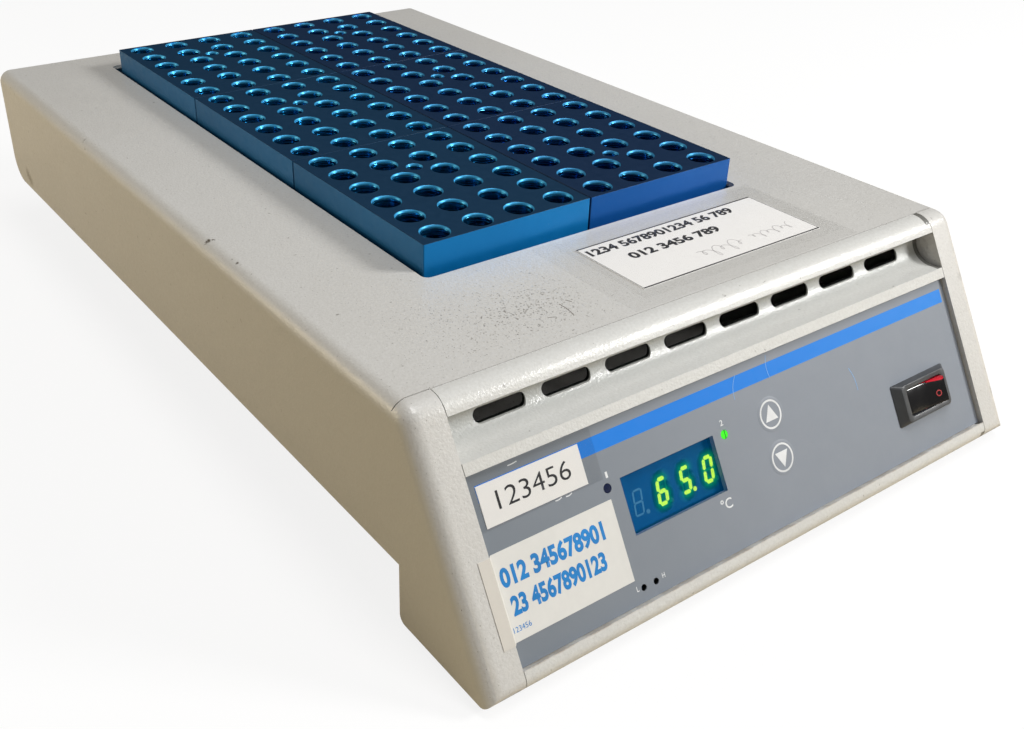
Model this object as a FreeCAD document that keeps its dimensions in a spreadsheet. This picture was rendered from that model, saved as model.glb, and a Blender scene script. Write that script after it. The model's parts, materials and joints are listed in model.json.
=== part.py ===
"""Bench heating block: a painted sheet-metal case that carries six anodised sample blocks.

Frame: X to the right, Y to the back, Z up, in millimetres. The origin is on the table, under
the middle of the case. Pieces of the sloping front are drawn in the face frame: x to the right,
y up the slope, z out of the face, with its origin on the lower edge of the ledge.
"""
import FreeCAD, Part
import math
import os
import re
import Sketcher
from FreeCAD import Placement, Rotation, Vector

# Driving dimensions
SIZES = dict(
    # Case
    case_width=260, case_depth=431, deck_height=83, skirt_height=3, tail_height=26,
    wall=1.5, face_tilt=31, side_bend=6, lip_bend=8, tail_bend=12, nose_bend=4,
    step_bend=3, skirt_length=50, crease_run=6, cheek_width=14, cheek_return=16,
    tail_relief=2, relief_width=0.5, relief_drop=3, slip=0.25, over=1,
    side_deck=52.2, front_deck=59.25, rear_deck=21.95, well_corner=3,
    # Front panel
    lip_drop=5, channel_run=3.4, cove_radius=9, cove_drop=17.9, ledge_drop=17.4,
    face_drop=20.7, recess=2.4, sill_rise=7.87, tuck_length=13, foot_flange=45,
    vent_count=8, vent_margin=13.25, vent_length=20, vent_width=4.4, vent_drop=12.9,
    # Overlay, display, lamps and keys
    film=0.4, film_margin=0.2, rim_width=2, rim_thick=1, display_inset=75.3, display_y=29.4,
    display_width=41.8, display_height=19.4, display_play=0.1, module_width=40, module_height=17,
    digit_count=4, digit_pitch=9.4, digit_width=7.6, digit_height=13.6, digit_sink=0.4,
    lamp_y=21.1, actual_inset=48.8, setpoint_inset=101.4, lamp_radius=1.5, lamp_collar=1.9,
    key_inset=124.3, up_key_y=21.4, down_key_y=37.2, key_radius=5.3, key_gap=0.3, key_rise=0.1,
    key_stem_radius=2.2, key_rest_gap=0.7, plunger_radius=1.6,
    plunger_length=1.2, key_switch_side=6, key_switch_height=3.5,
    trimmer_rise=4.6, low_trimmer_inset=51.7, high_trimmer_inset=57, trimmer_hole_radius=1.1,
    trimmer_side=4.8, trimmer_height=6, trimmer_screw_radius=1.3, trimmer_screw_length=2,
    trimmer_seat_depth=1.5, screw_play=0.05, trimmer_slot=0.5, small_screw_grip=3,
    board_drop=12, board_thick=1.6, board_left_inset=40, board_right_inset=138, board_top=13.5,
    board_foot=2, board_inset=3.5, post_radius=2.6, screw_head_radius=2.7,
    screw_head_height=1.8, small_screw_radius=1.4,
    # Power switch
    switch_inset=29.4, switch_rise=20.6, bezel_width=31.8, bezel_height=16.4, bezel_rise=2.9,
    bezel_top_height=13.2, rocker_length=21, rocker_width=10.2,
    rocker_play=0.3, rocker_sink=0.3, rocker_rise=2.8, rocker_drop=2.5, rocker_tilt=11,
    rocker_pivot_radius=1.5, axle_reach=0.9, rocker_cap_thick=1.1,
    switch_body_width=27.4, switch_body_height=12.8,
    switch_body_depth=18, switch_cavity_depth=7, terminal_width=4.8, terminal_thick=0.8,
    terminal_length=8,
    # Sample blocks and what heats them
    block_rise=10.5, block_gap=0.45, block_side_play=1.675, block_end_play=6.6,
    block_aside=0.6, block_ahead=2.1, block_corner=1.5, block_chamfer=0.5,
    tube_radius=6, tube_floor=6.8, tube_side_margin=9.75, tube_end_margin=7.45, tube_columns=4,
    tube_rows=6, probe_well_radius=3.6, probe_well_floor=12.8,
    tray_wall=1, tray_ledge=8, tray_flange=12, plate_thick=8, plate_play=0.5,
    heater_thick=2, pad_thick=3.7, heater_inset=11, cutoff_radius=7, cutoff_play=1, probe_radius=2,
    probe_length=60, probe_lead=14, probe_play=0.05, tray_post_radius=4,
    # Electronics on the floor
    power_board_inset=24, power_board_y=-45, power_board_width=36, power_board_length=110,
    post_height=5, triac_y=-80, sink_height=28, sink_width=24, sink_thick=12,
    sink_fins=5, sink_base=3, triac_thick=4.5, triac_width=10, triac_height=20,
    terminal_block_y=-5, terminal_block_length=30, terminal_block_width=12,
    terminal_block_height=11, transformer_y=90,
    transformer_width=36, transformer_length=44, transformer_height=36,
    bobbin_width=28, bobbin_height=30, bobbin_overhang=5,
    # Mains inlet in the rear wall
    inlet_inset=38, inlet_height=54, inlet_width=27, inlet_tall=20, inlet_depth=24,
    inlet_flange_width=50, inlet_flange_tall=22, inlet_flange_thick=3, inlet_wall=2,
    inlet_floor=3, inlet_screw_span=40, pin_width=4, pin_thick=2, pin_length=12,
    pin_spread=7, pin_offset=2, rear_vent_x=40, rear_vent_count=4,
    # Feet, screws and labels
    foot_inset=42, front_foot_inset=27.5, rear_foot_inset=33.5,
    foot_radius=11, foot_lower_radius=9.5,
    foot_sink=2.6, foot_screw_radius=1.6, foot_screw_head=4, foot_screw_head_height=2.4,
    case_screw_end_inset=133, case_screw_side_inset=6, paper=0.2, deck_label_x=26,
    deck_label_width=92, deck_label_depth=36.4, number_label_inset=22.7, number_label_y=10.7,
    number_label_width=39, number_label_height=13, status_label_overlap=4.3,
    label_fold=1.5, status_label_reach=48.8, status_label_top=24.7, status_label_rise=8,
)

doc = FreeCAD.newDocument("heating_block")
sheet = doc.addObject("Spreadsheet::Sheet", "Sizes")
for row, (alias, value) in enumerate(SIZES.items(), start=1):
    sheet.set(f"A{row}", str(value))
    sheet.setAlias(f"A{row}", alias)
doc.recompute()

# Expressions
WORD = re.compile(r"[a-z_][a-z0-9_]*")


def bound(expression):
    """The expression with each size written as its cell, and each place as what it follows from."""
    def link(match):
        word = match.group(0)
        if word in FOLLOWS:
            return f"({bound(FOLLOWS[word])})"
        return f"Sizes.{word}" if word in SIZES else word
    return WORD.sub(link, str(expression))


def num(expression):
    """The present value of an expression."""
    return float(sheet.evalExpression(bound(expression)))


NOSE_Y = "(-case_depth / 2 - nose_bend * (1 / tan((90 - face_tilt) / 2) - 1))"


def face_y(height):
    """Y of the sloping face at a height."""
    return f"({NOSE_Y} + (({height}) - skirt_height) * tan(face_tilt))"


def return_y(height):
    """Y at which the flange behind a cheek ends at a height."""
    return f"({face_y(height)} + cheek_return / cos(face_tilt))"


def on_face(inward, down):
    """Y and Z of the point that lies inward of the face and down the slope from its origin."""
    y = f"({face_y('face_origin_height')} + ({inward}) * cos(face_tilt) - ({down}) * sin(face_tilt))"
    z = f"(face_origin_height - ({inward}) * sin(face_tilt) - ({down}) * cos(face_tilt))"
    return y, z


DECK_UNDER = "(deck_height - wall)"
FACE_WALL = "(wall / cos(face_tilt))"
STEP_Y = f"({NOSE_Y} + skirt_length)"
REAR_FACE = "(case_depth / 2 - wall)"
TAIL_Y = "(case_depth / 2 - tail_bend - tail_relief)"
CREASE_Y = f"({face_y('deck_height')} + crease_run)"
SEAM_X = "(case_width / 2 - cheek_width)"
INNER_X = "(case_width / 2 - wall)"
CHANNEL_Y = f"({face_y('deck_height')} + channel_run)"
FLOOR_UNDER = "(tail_height + wall)"
FLOOR_TOP = "(tail_height + 2 * wall)"
BAY_UNDER = "(skirt_height + wall)"
BAY_TOP = "(skirt_height + 2 * wall)"
FILM_TOP = "(film - recess)"
PANEL_BACK = "(-recess - wall)"
BOARD_FRONT = "(-board_drop)"
PLUNGER_TOP = f"({BOARD_FRONT} + key_switch_height + plunger_length)"
PIVOT_OUT = f"({FILM_TOP} + bezel_rise - rocker_sink - rocker_rise)"
BLOCK_FLOOR = f"({FLOOR_TOP} + pad_thick + heater_thick + plate_thick)"
PLATE_UNDER = f"({BLOCK_FLOOR} - plate_thick)"
LEDGE_UNDER = f"({PLATE_UNDER} - tray_wall)"
WELL_FRONT = f"({CREASE_Y} + front_deck)"
WELL_BACK = "(case_depth / 2 - rear_deck)"
BLOCK_SIDES = ("left", "right")
BLOCK_LINES = ("front", "middle", "back")

# Sizes and places that follow from the driving ones
FOLLOWS = dict(
    lip_height="deck_height - lip_drop",
    cove_height="deck_height - cove_drop",
    ledge_height="deck_height - ledge_drop",
    face_origin_height="deck_height - face_drop",
    vent_height="deck_height - vent_drop",
    vent_pitch=f"(2 * {SEAM_X} - 2 * vent_margin - vent_length) / (vent_count - 1)",
    recess_length="(face_origin_height - skirt_height - sill_rise) / cos(face_tilt)",
    well_width="case_width - 2 * side_deck",
    well_depth=f"{WELL_BACK} - {WELL_FRONT}",
    well_y=f"({WELL_BACK} + {WELL_FRONT}) / 2",
    block_width=f"(well_width - 2 * block_side_play + block_gap) / {len(BLOCK_SIDES)} - block_gap",
    block_depth=f"(well_depth - 2 * block_end_play + block_gap) / {len(BLOCK_LINES)} - block_gap",
    block_height=f"deck_height + block_rise - {BLOCK_FLOOR}",
    block_y="well_y - block_ahead",
    tube_depth="block_height - tube_floor",
    probe_well_depth="block_height - probe_well_floor",
    tube_pitch_x="(block_width - 2 * tube_side_margin) / (tube_columns - 1)",
    tube_pitch_y="(block_depth - 2 * tube_end_margin) / (tube_rows - 1)",
    display_x=f"display_inset - {SEAM_X}",
    actual_x=f"actual_inset - {SEAM_X}",
    setpoint_x=f"setpoint_inset - {SEAM_X}",
    key_x=f"key_inset - {SEAM_X}",
    low_trimmer_x=f"low_trimmer_inset - {SEAM_X}",
    high_trimmer_x=f"high_trimmer_inset - {SEAM_X}",
    board_left=f"board_left_inset - {SEAM_X}",
    board_right=f"board_right_inset - {SEAM_X}",
    board_bottom="recess_length - board_foot",
    trimmer_y="recess_length - trimmer_rise",
    switch_x=f"{SEAM_X} - switch_inset",
    switch_y="recess_length - switch_rise",
    power_board_x="case_width / 2 - power_board_inset",
    inlet_x="inlet_inset - case_width / 2",
    foot_x="case_width / 2 - foot_inset",
    front_foot_y="front_foot_inset - case_depth / 2",
    rear_foot_y="case_depth / 2 - rear_foot_inset",
    deck_label_y=f"{CREASE_Y} + front_deck / 2",
    number_label_x=f"number_label_inset - {SEAM_X}",
    status_label_left=f"-{SEAM_X} - status_label_overlap",
    status_label_right=f"status_label_reach - {SEAM_X}",
    status_label_bottom="recess_length - status_label_rise",
)

# Objects


def new_body(label):
    """An empty body that carries a node's name."""
    item = doc.addObject("PartDesign::Body", label)
    item.Label = label
    return item


def new_sketch(item, role, offset="0", on_slope=False):
    """A sketch on one of the body's own origin planes, moved along it or laid on the slope."""
    drawing = item.newObject("Sketcher::SketchObject", "Outline")
    plane = [feature for feature in item.Origin.OriginFeatures if feature.Role == role][0]
    drawing.AttachmentSupport = (plane, [""])
    drawing.MapMode = "FlatFace"
    if on_slope:
        y, z = on_face("0", "0")
        drawing.AttachmentOffset = Placement(
            Vector(0, num(y), num(z)), Rotation(Vector(1, 0, 0), 90 - num("face_tilt")))
        drawing.setExpression("AttachmentOffset.Base.y", bound(y))
        drawing.setExpression("AttachmentOffset.Base.z", bound(z))
        drawing.setExpression("AttachmentOffset.Rotation.Angle", bound("(90 - face_tilt) * 1 deg"))
    elif offset != "0":
        drawing.AttachmentOffset = Placement(Vector(0, 0, num(offset)), Rotation())
        drawing.setExpression("AttachmentOffset.Base.z", bound(offset))
    return drawing


def fix_point(drawing, geometry, end, x, y):
    """Hold a point of the sketch at an expression each way."""
    for kind, expression in (("DistanceX", x), ("DistanceY", y)):
        value = num(expression)
        index = drawing.addConstraint(
            Sketcher.Constraint(kind, -1, 1, geometry, end, value))
        drawing.setExpression(f"Constraints[{index}]", bound(expression))


def polygon(drawing, corners):
    """A closed outline of straight lines through corners given as expressions."""
    places = [Vector(num(x), num(y), 0) for x, y in corners]
    first = drawing.GeometryCount
    count = len(places)
    for index in range(count):
        drawing.addGeometry(Part.LineSegment(places[index], places[(index + 1) % count]))
    for index in range(count):
        drawing.addConstraint(Sketcher.Constraint(
            "Coincident", first + index, 2, first + (index + 1) % count, 1))
    for index, (x, y) in enumerate(corners):
        fix_point(drawing, first + index, 1, x, y)


def rectangle(drawing, left, low, right, high):
    """A closed rectangle between expressions."""
    polygon(drawing, [(left, low), (right, low), (right, high), (left, high)])


def centred(drawing, x, y, width, height):
    """A closed rectangle about a centre."""
    rectangle(drawing, f"({x}) - ({width}) / 2", f"({y}) - ({height}) / 2",
              f"({x}) + ({width}) / 2", f"({y}) + ({height}) / 2")


def circle(drawing, x, y, radius):
    """A circle whose centre and radius are expressions."""
    geometry = drawing.addGeometry(
        Part.Circle(Vector(num(x), num(y), 0), Vector(0, 0, 1), num(radius)))
    fix_point(drawing, geometry, 3, x, y)
    index = drawing.addConstraint(Sketcher.Constraint("Radius", geometry, num(radius)))
    drawing.setExpression(f"Constraints[{index}]", bound(radius))


def slot(drawing, x, y, length, width):
    """A round-ended slot along x about a centre."""
    half = f"(({length}) - ({width})) / 2"
    radius = f"({width}) / 2"
    cx, cy, run, end = num(x), num(y), num(half), num(radius)
    quarter = math.pi / 2
    right = drawing.addGeometry(Part.ArcOfCircle(
        Part.Circle(Vector(cx + run, cy, 0), Vector(0, 0, 1), end), -quarter, quarter))
    left = drawing.addGeometry(Part.ArcOfCircle(
        Part.Circle(Vector(cx - run, cy, 0), Vector(0, 0, 1), end), quarter, 3 * quarter))
    top = drawing.addGeometry(
        Part.LineSegment(Vector(cx + run, cy + end, 0), Vector(cx - run, cy + end, 0)))
    low = drawing.addGeometry(
        Part.LineSegment(Vector(cx - run, cy - end, 0), Vector(cx + run, cy - end, 0)))
    for a, a_end, b, b_end in ((right, 2, top, 1), (top, 2, left, 1), (left, 2, low, 1), (low, 2, right, 1)):
        drawing.addConstraint(Sketcher.Constraint("Tangent", a, a_end, b, b_end))
    fix_point(drawing, right, 3, f"({x}) + {half}", y)
    fix_point(drawing, left, 3, f"({x}) - {half}", y)
    index = drawing.addConstraint(Sketcher.Constraint("Radius", right, end))
    drawing.setExpression(f"Constraints[{index}]", bound(radius))


def pad(item, drawing, length, both=False, back=False, name="Pad"):
    """Material along the sketch's normal, or on both sides of it."""
    feature = item.newObject("PartDesign::Pad", name)
    feature.Profile = drawing
    feature.setExpression("Length", bound(length))
    feature.SideType = "Symmetric" if both else "One side"
    feature.Reversed = back
    doc.recompute()
    return feature


def pocket(item, drawing, length, both=False, along=False, name="Pocket"):
    """A cut against the sketch's normal, along it, or on both sides of it."""
    before = item.Shape.Volume
    feature = item.newObject("PartDesign::Pocket", name)
    feature.Profile = drawing
    feature.setExpression("Length", bound(length))
    feature.SideType = "Symmetric" if both else "One side"
    feature.Reversed = along
    doc.recompute()
    if not item.Shape.Volume < before:
        raise RuntimeError(f"{item.Label}: {name} cuts nothing")
    return feature


def row_of(item, features, role, step, count):
    """The features repeated in a straight row along an axis of the body."""
    axis = [feature for feature in item.Origin.OriginFeatures if feature.Role == role][0]
    copy = item.newObject("PartDesign::LinearPattern", "Row")
    copy.Originals = features
    copy.Direction = (axis, [""])
    copy.Mode = "Spacing"
    copy.setExpression("Offset", bound(step))
    copy.setExpression("Occurrences", bound(count))
    item.Tip = copy
    doc.recompute()
    return copy


def edges_where(shape, test):
    """Names of the edges whose middle point and direction pass a test."""
    names = []
    for index, edge in enumerate(shape.Edges, start=1):
        middle = edge.valueAt((edge.FirstParameter + edge.LastParameter) / 2)
        direction = edge.valueAt(edge.LastParameter) - edge.valueAt(edge.FirstParameter)
        if direction.Length > 0:
            direction.normalize()
        if test(middle, direction):
            names.append(f"Edge{index}")
    return names


def along_x(y, z):
    """A test for straight edges along X at a place, given as expressions."""
    place = Vector(0, num(y), num(z))
    return lambda middle, direction: (
        abs(abs(direction.x) - 1) < 1e-6 and math.hypot(middle.y - place.y, middle.z - place.z) < 0.01)


def fillet(item, radius, *tests):
    """A rounding on every edge that passes one of the tests."""
    base = item.Tip
    names = edges_where(base.Shape, lambda middle, direction: any(t(middle, direction) for t in tests))
    if not names:
        raise RuntimeError(f"{item.Label}: no edge to round at {radius}")
    feature = item.newObject("PartDesign::Fillet", "Fillet")
    feature.Base = (base, names)
    feature.setExpression("Radius", bound(radius))
    doc.recompute()
    return feature


def chamfer(item, size, test):
    """A chamfer on every edge that passes the test."""
    base = item.Tip
    feature = item.newObject("PartDesign::Chamfer", "Chamfer")
    feature.Base = (base, edges_where(base.Shape, test))
    feature.setExpression("Size", bound(size))
    doc.recompute()
    return feature


NODES = []


def keep(item):
    """Count an object as a sub-part of the product."""
    NODES.append(item)
    return item


def place_on_face(item, x="0", down="0", inward="0"):
    """Stand a piece that is drawn in the face frame on the sloping face."""
    y, z = on_face(inward, down)
    item.Placement = Placement(
        Vector(num(x), num(y), num(z)), Rotation(Vector(1, 0, 0), 90 - num("face_tilt")))
    item.setExpression("Placement.Base.x", bound(x))
    item.setExpression("Placement.Base.y", bound(y))
    item.setExpression("Placement.Base.z", bound(z))
    item.setExpression("Placement.Rotation.Angle", bound("(90 - face_tilt) * 1 deg"))
    return item


def box(label, x, y, z, width, depth, height):
    """A plain box about x and y, standing on z."""
    item = doc.addObject("Part::Box", label)
    item.Label = label
    for name, expression in (("Length", width), ("Width", depth), ("Height", height)):
        item.setExpression(name, bound(expression))
    for name, expression in (("x", f"({x}) - ({width}) / 2"), ("y", f"({y}) - ({depth}) / 2"), ("z", z)):
        item.setExpression(f"Placement.Base.{name}", bound(expression))
    return item


def cylinder(label, x, y, z, radius, height):
    """An upright cylinder that stands on z."""
    item = doc.addObject("Part::Cylinder", label)
    item.Label = label
    item.setExpression("Radius", bound(radius))
    item.setExpression("Height", bound(height))
    for name, expression in (("x", x), ("y", y), ("z", z)):
        item.setExpression(f"Placement.Base.{name}", bound(expression))
    return item


def group(label, pieces):
    """Several separate solids under one name."""
    item = doc.addObject("Part::Compound", label)
    item.Label = label
    item.Links = pieces
    return item


def fuse(label, pieces):
    """Several touching solids joined into one."""
    item = doc.addObject("Part::MultiFuse", label)
    item.Label = label
    item.Shapes = pieces
    item.Refine = True
    return item


def common(label, pieces):
    """The space that all the pieces share."""
    item = doc.addObject("Part::MultiCommon", label)
    item.Label = label
    item.Shapes = pieces
    return item


def cut(label, base, tool):
    """One solid less another."""
    item = doc.addObject("Part::Cut", label)
    item.Label = label
    item.Base = base
    item.Tool = tool
    return item


def face_box(label, x, down, low, width, height, thick):
    """A box in the face frame, centred on x and down, from low along the outward normal."""
    item = doc.addObject("Part::Box", label)
    item.Label = label
    for name, expression in (("Length", width), ("Width", height), ("Height", thick)):
        item.setExpression(name, bound(expression))
    return place_on_face(item, f"({x}) - ({width}) / 2", f"({down}) + ({height}) / 2", f"-({low})")


def face_cylinder(label, x, down, low, radius, length):
    """A cylinder in the face frame along the outward normal, from low."""
    item = doc.addObject("Part::Cylinder", label)
    item.Label = label
    item.setExpression("Radius", bound(radius))
    item.setExpression("Height", bound(length))
    return place_on_face(item, x, down, f"-({low})")


def turned(label, profile):
    """A body of revolution about its own Z axis from radius and height pairs."""
    item = new_body(label)
    drawing = new_sketch(item, "XZ_Plane")
    polygon(drawing, profile)
    feature = item.newObject("PartDesign::Revolution", "Turning")
    feature.Profile = drawing
    feature.ReferenceAxis = (drawing, ["V_Axis"])
    feature.Angle = 360
    doc.recompute()
    return item


def put(item, x, y, z):
    """Move a piece to a place given as expressions."""
    for name, expression in (("x", x), ("y", y), ("z", z)):
        item.setExpression(f"Placement.Base.{name}", bound(expression))
    return item


# Case


def case_profile():
    """The closed case outline across its whole width."""
    form = new_body("case_profile")
    outline = new_sketch(form, "YZ_Plane")
    polygon(outline, [
        ("case_depth / 2", "deck_height"), ("case_depth / 2", "tail_height"),
        (STEP_Y, "tail_height"), (STEP_Y, "skirt_height"), (NOSE_Y, "skirt_height"),
        (face_y("deck_height"), "deck_height")])
    pad(form, outline, "case_width", both=True)
    fillet(form, "tail_bend", along_x("case_depth / 2", "tail_height"))
    fillet(form, "step_bend", along_x(STEP_Y, "skirt_height"))
    fillet(form, "nose_bend", along_x(NOSE_Y, "skirt_height"))
    return form


def front_opening():
    """The part of the front between the two cheeks."""
    form = new_body("front_opening")
    outline = new_sketch(form, "YZ_Plane")
    polygon(outline, [
        (CREASE_Y, "deck_height + over"), (CREASE_Y, DECK_UNDER),
        (f"{return_y(DECK_UNDER)} + over", DECK_UNDER), (f"{return_y(BAY_UNDER)} + over", BAY_UNDER),
        (f"{return_y(BAY_UNDER)} + over", "skirt_height - over"),
        (f"{NOSE_Y} - over", "skirt_height - over"), (f"{NOSE_Y} - over", "deck_height + over")])
    pad(form, outline, f"2 * {SEAM_X}", both=True)
    return form


def floor_opening():
    """The open underside between the flanges of the sides."""
    form = new_body("floor_opening")
    outline = new_sketch(form, "YZ_Plane")
    polygon(outline, [
        (TAIL_Y, f"{FLOOR_UNDER} + over"), (TAIL_Y, "skirt_height - over"),
        (return_y(BAY_UNDER), "skirt_height - over"), (return_y(BAY_UNDER), f"{BAY_UNDER} + over"),
        (f"{STEP_Y} - wall - over", f"{BAY_UNDER} + over"),
        (f"{STEP_Y} - wall - over", f"{FLOOR_UNDER} + over")])
    pad(form, outline, f"2 * {SEAM_X}", both=True)
    return form


def well_opening():
    """The opening of the deck round the sample blocks."""
    form = new_body("well_opening")
    outline = new_sketch(form, "XY_Plane", f"{DECK_UNDER} - over")
    centred(outline, "0", "well_y", "well_width", "well_depth")
    pad(form, outline, "wall + 2 * over")
    fillet(form, "well_corner", lambda middle, direction: abs(abs(direction.z) - 1) < 1e-6)
    return form


def relief(side):
    """The narrow slit in the bent edge behind a cheek."""
    width = f"({INNER_X} + wall + over - {SEAM_X})"
    return box("relief", f"({side}) * ({SEAM_X} + {width} / 2)", CREASE_Y, "deck_height - relief_drop",
               width, "relief_width", "relief_drop + over")


def case_edges():
    """The case form with its top edges and its front edges rounded in one run."""
    form = new_body("case_edges")
    outline = new_sketch(form, "YZ_Plane")
    polygon(outline, [
        ("case_depth / 2", "deck_height"), ("case_depth / 2", "-over"),
        (face_y("-over"), "-over"), (face_y("deck_height"), "deck_height")])
    pad(form, outline, "case_width", both=True)
    fillet(form, "lip_bend", along_x(face_y("deck_height"), "deck_height"))
    half, top = num("case_width / 2"), num("deck_height")
    fillet(form, "side_bend", lambda middle, direction: (
        abs(abs(middle.x) - half) < 0.01 and abs(middle.z - top) < 0.01))
    return form


def case_room():
    """The space inside the case, between the floor flanges, the sides and the deck."""
    room = new_body("case_room")
    outline = new_sketch(room, "YZ_Plane")
    polygon(outline, [
        ("case_depth / 2 + over", DECK_UNDER), ("case_depth / 2 + over", "tail_height - over"),
        (TAIL_Y, "tail_height - over"), (TAIL_Y, FLOOR_UNDER), (f"{STEP_Y} - wall", FLOOR_UNDER),
        (f"{STEP_Y} - wall", BAY_UNDER), (return_y(BAY_UNDER), BAY_UNDER),
        (return_y(DECK_UNDER), DECK_UNDER)])
    pad(room, outline, f"2 * {INNER_X}", both=True)
    inner, top = num(INNER_X), num(DECK_UNDER)
    fillet(room, "side_bend - wall", lambda middle, direction: (
        abs(abs(middle.x) - inner) < 0.01 and abs(middle.z - top) < 0.01))
    fillet(room, "step_bend - wall", along_x(f"{STEP_Y} - wall", FLOOR_UNDER))
    return room


def cheek_room(side):
    """The space inside a front cheek, between its face, its side and its flange."""
    room = new_body("cheek_room")
    near = f"({side}) * ({SEAM_X} + cheek_width / 2) - (cheek_width - 2 * wall) / 2"
    outline = new_sketch(room, "YZ_Plane", near)
    polygon(outline, [
        (f"{face_y(BAY_UNDER)} + {FACE_WALL}", BAY_UNDER), (f"{return_y(BAY_UNDER)} + over", BAY_UNDER),
        (f"{return_y(DECK_UNDER)} + over", DECK_UNDER),
        (f"{face_y(DECK_UNDER)} + {FACE_WALL}", DECK_UNDER)])
    pad(room, outline, "cheek_width - 2 * wall")
    fillet(room, "lip_bend - wall", along_x(f"{face_y(DECK_UNDER)} + {FACE_WALL}", DECK_UNDER))
    inner, top = side * num(INNER_X), num(DECK_UNDER)
    fillet(room, "side_bend - wall", lambda middle, direction: (
        abs(middle.x - inner) < 0.01 and abs(middle.z - top) < 0.01))
    return room


def case_shell():
    """The bent sheet of the deck, the sides and the front cheeks."""
    form = common("case_solid", [case_profile(), case_edges()])
    for room in (case_room(), cheek_room(-1), cheek_room(1), front_opening(), floor_opening(),
                 well_opening(), relief(-1), relief(1)):
        form = cut("case_cut", form, room)
    form.Label = "case_shell"
    return keep(form)


def base_pan():
    """The folded sheet of the floor, the step, the front bay and the rear wall."""
    item = new_body("base_pan")
    outline = new_sketch(item, "YZ_Plane")
    front = f"({return_y(BAY_TOP)} + slip)"
    polygon(outline, [
        (front, BAY_UNDER), (f"{STEP_Y} - wall", BAY_UNDER), (f"{STEP_Y} - wall", FLOOR_UNDER),
        ("case_depth / 2", FLOOR_UNDER), ("case_depth / 2", DECK_UNDER), (REAR_FACE, DECK_UNDER),
        (REAR_FACE, FLOOR_TOP), (f"{STEP_Y} - 2 * wall", FLOOR_TOP), (f"{STEP_Y} - 2 * wall", BAY_TOP),
        (front, BAY_TOP)])
    pad(item, outline, f"2 * ({INNER_X} - slip)", both=True)
    fillet(item, "tail_bend - wall", along_x("case_depth / 2", FLOOR_UNDER))
    fillet(item, "tail_bend - 2 * wall", along_x(REAR_FACE, FLOOR_TOP))
    fillet(item, "step_bend", along_x(f"{STEP_Y} - wall", BAY_UNDER),
           along_x(f"{STEP_Y} - 2 * wall", FLOOR_TOP))
    fillet(item, "step_bend - wall", along_x(f"{STEP_Y} - wall", FLOOR_UNDER),
           along_x(f"{STEP_Y} - 2 * wall", BAY_TOP))
    side, top, back = num(f"{INNER_X} - slip"), num(DECK_UNDER), num("case_depth / 2 - wall / 2")
    fillet(item, "side_bend", lambda middle, direction: (
        abs(abs(middle.x) - side) < 0.01 and abs(middle.z - top) < 0.01 and abs(middle.y - back) < 0.01))
    socket = new_sketch(item, "XZ_Plane", f"-{REAR_FACE}")
    centred(socket, "inlet_x", "inlet_height", "inlet_width + 2 * slip", "inlet_tall + 2 * slip")
    for side in (-1, 1):
        circle(socket, f"inlet_x + ({side}) * inlet_screw_span / 2", "inlet_height",
               "small_screw_radius + screw_play")
    pocket(item, socket, "wall + over", name="InletOpening")
    grille = new_sketch(item, "XZ_Plane", f"-{REAR_FACE}")
    slot(grille, "-vent_pitch * (rear_vent_count - 1) / 2 + rear_vent_x", "inlet_height",
         "vent_length", "vent_width")
    row_of(item, [pocket(item, grille, "wall + over", name="Grille")], "X_Axis",
           "vent_pitch", "rear_vent_count")
    return keep(item)


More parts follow.
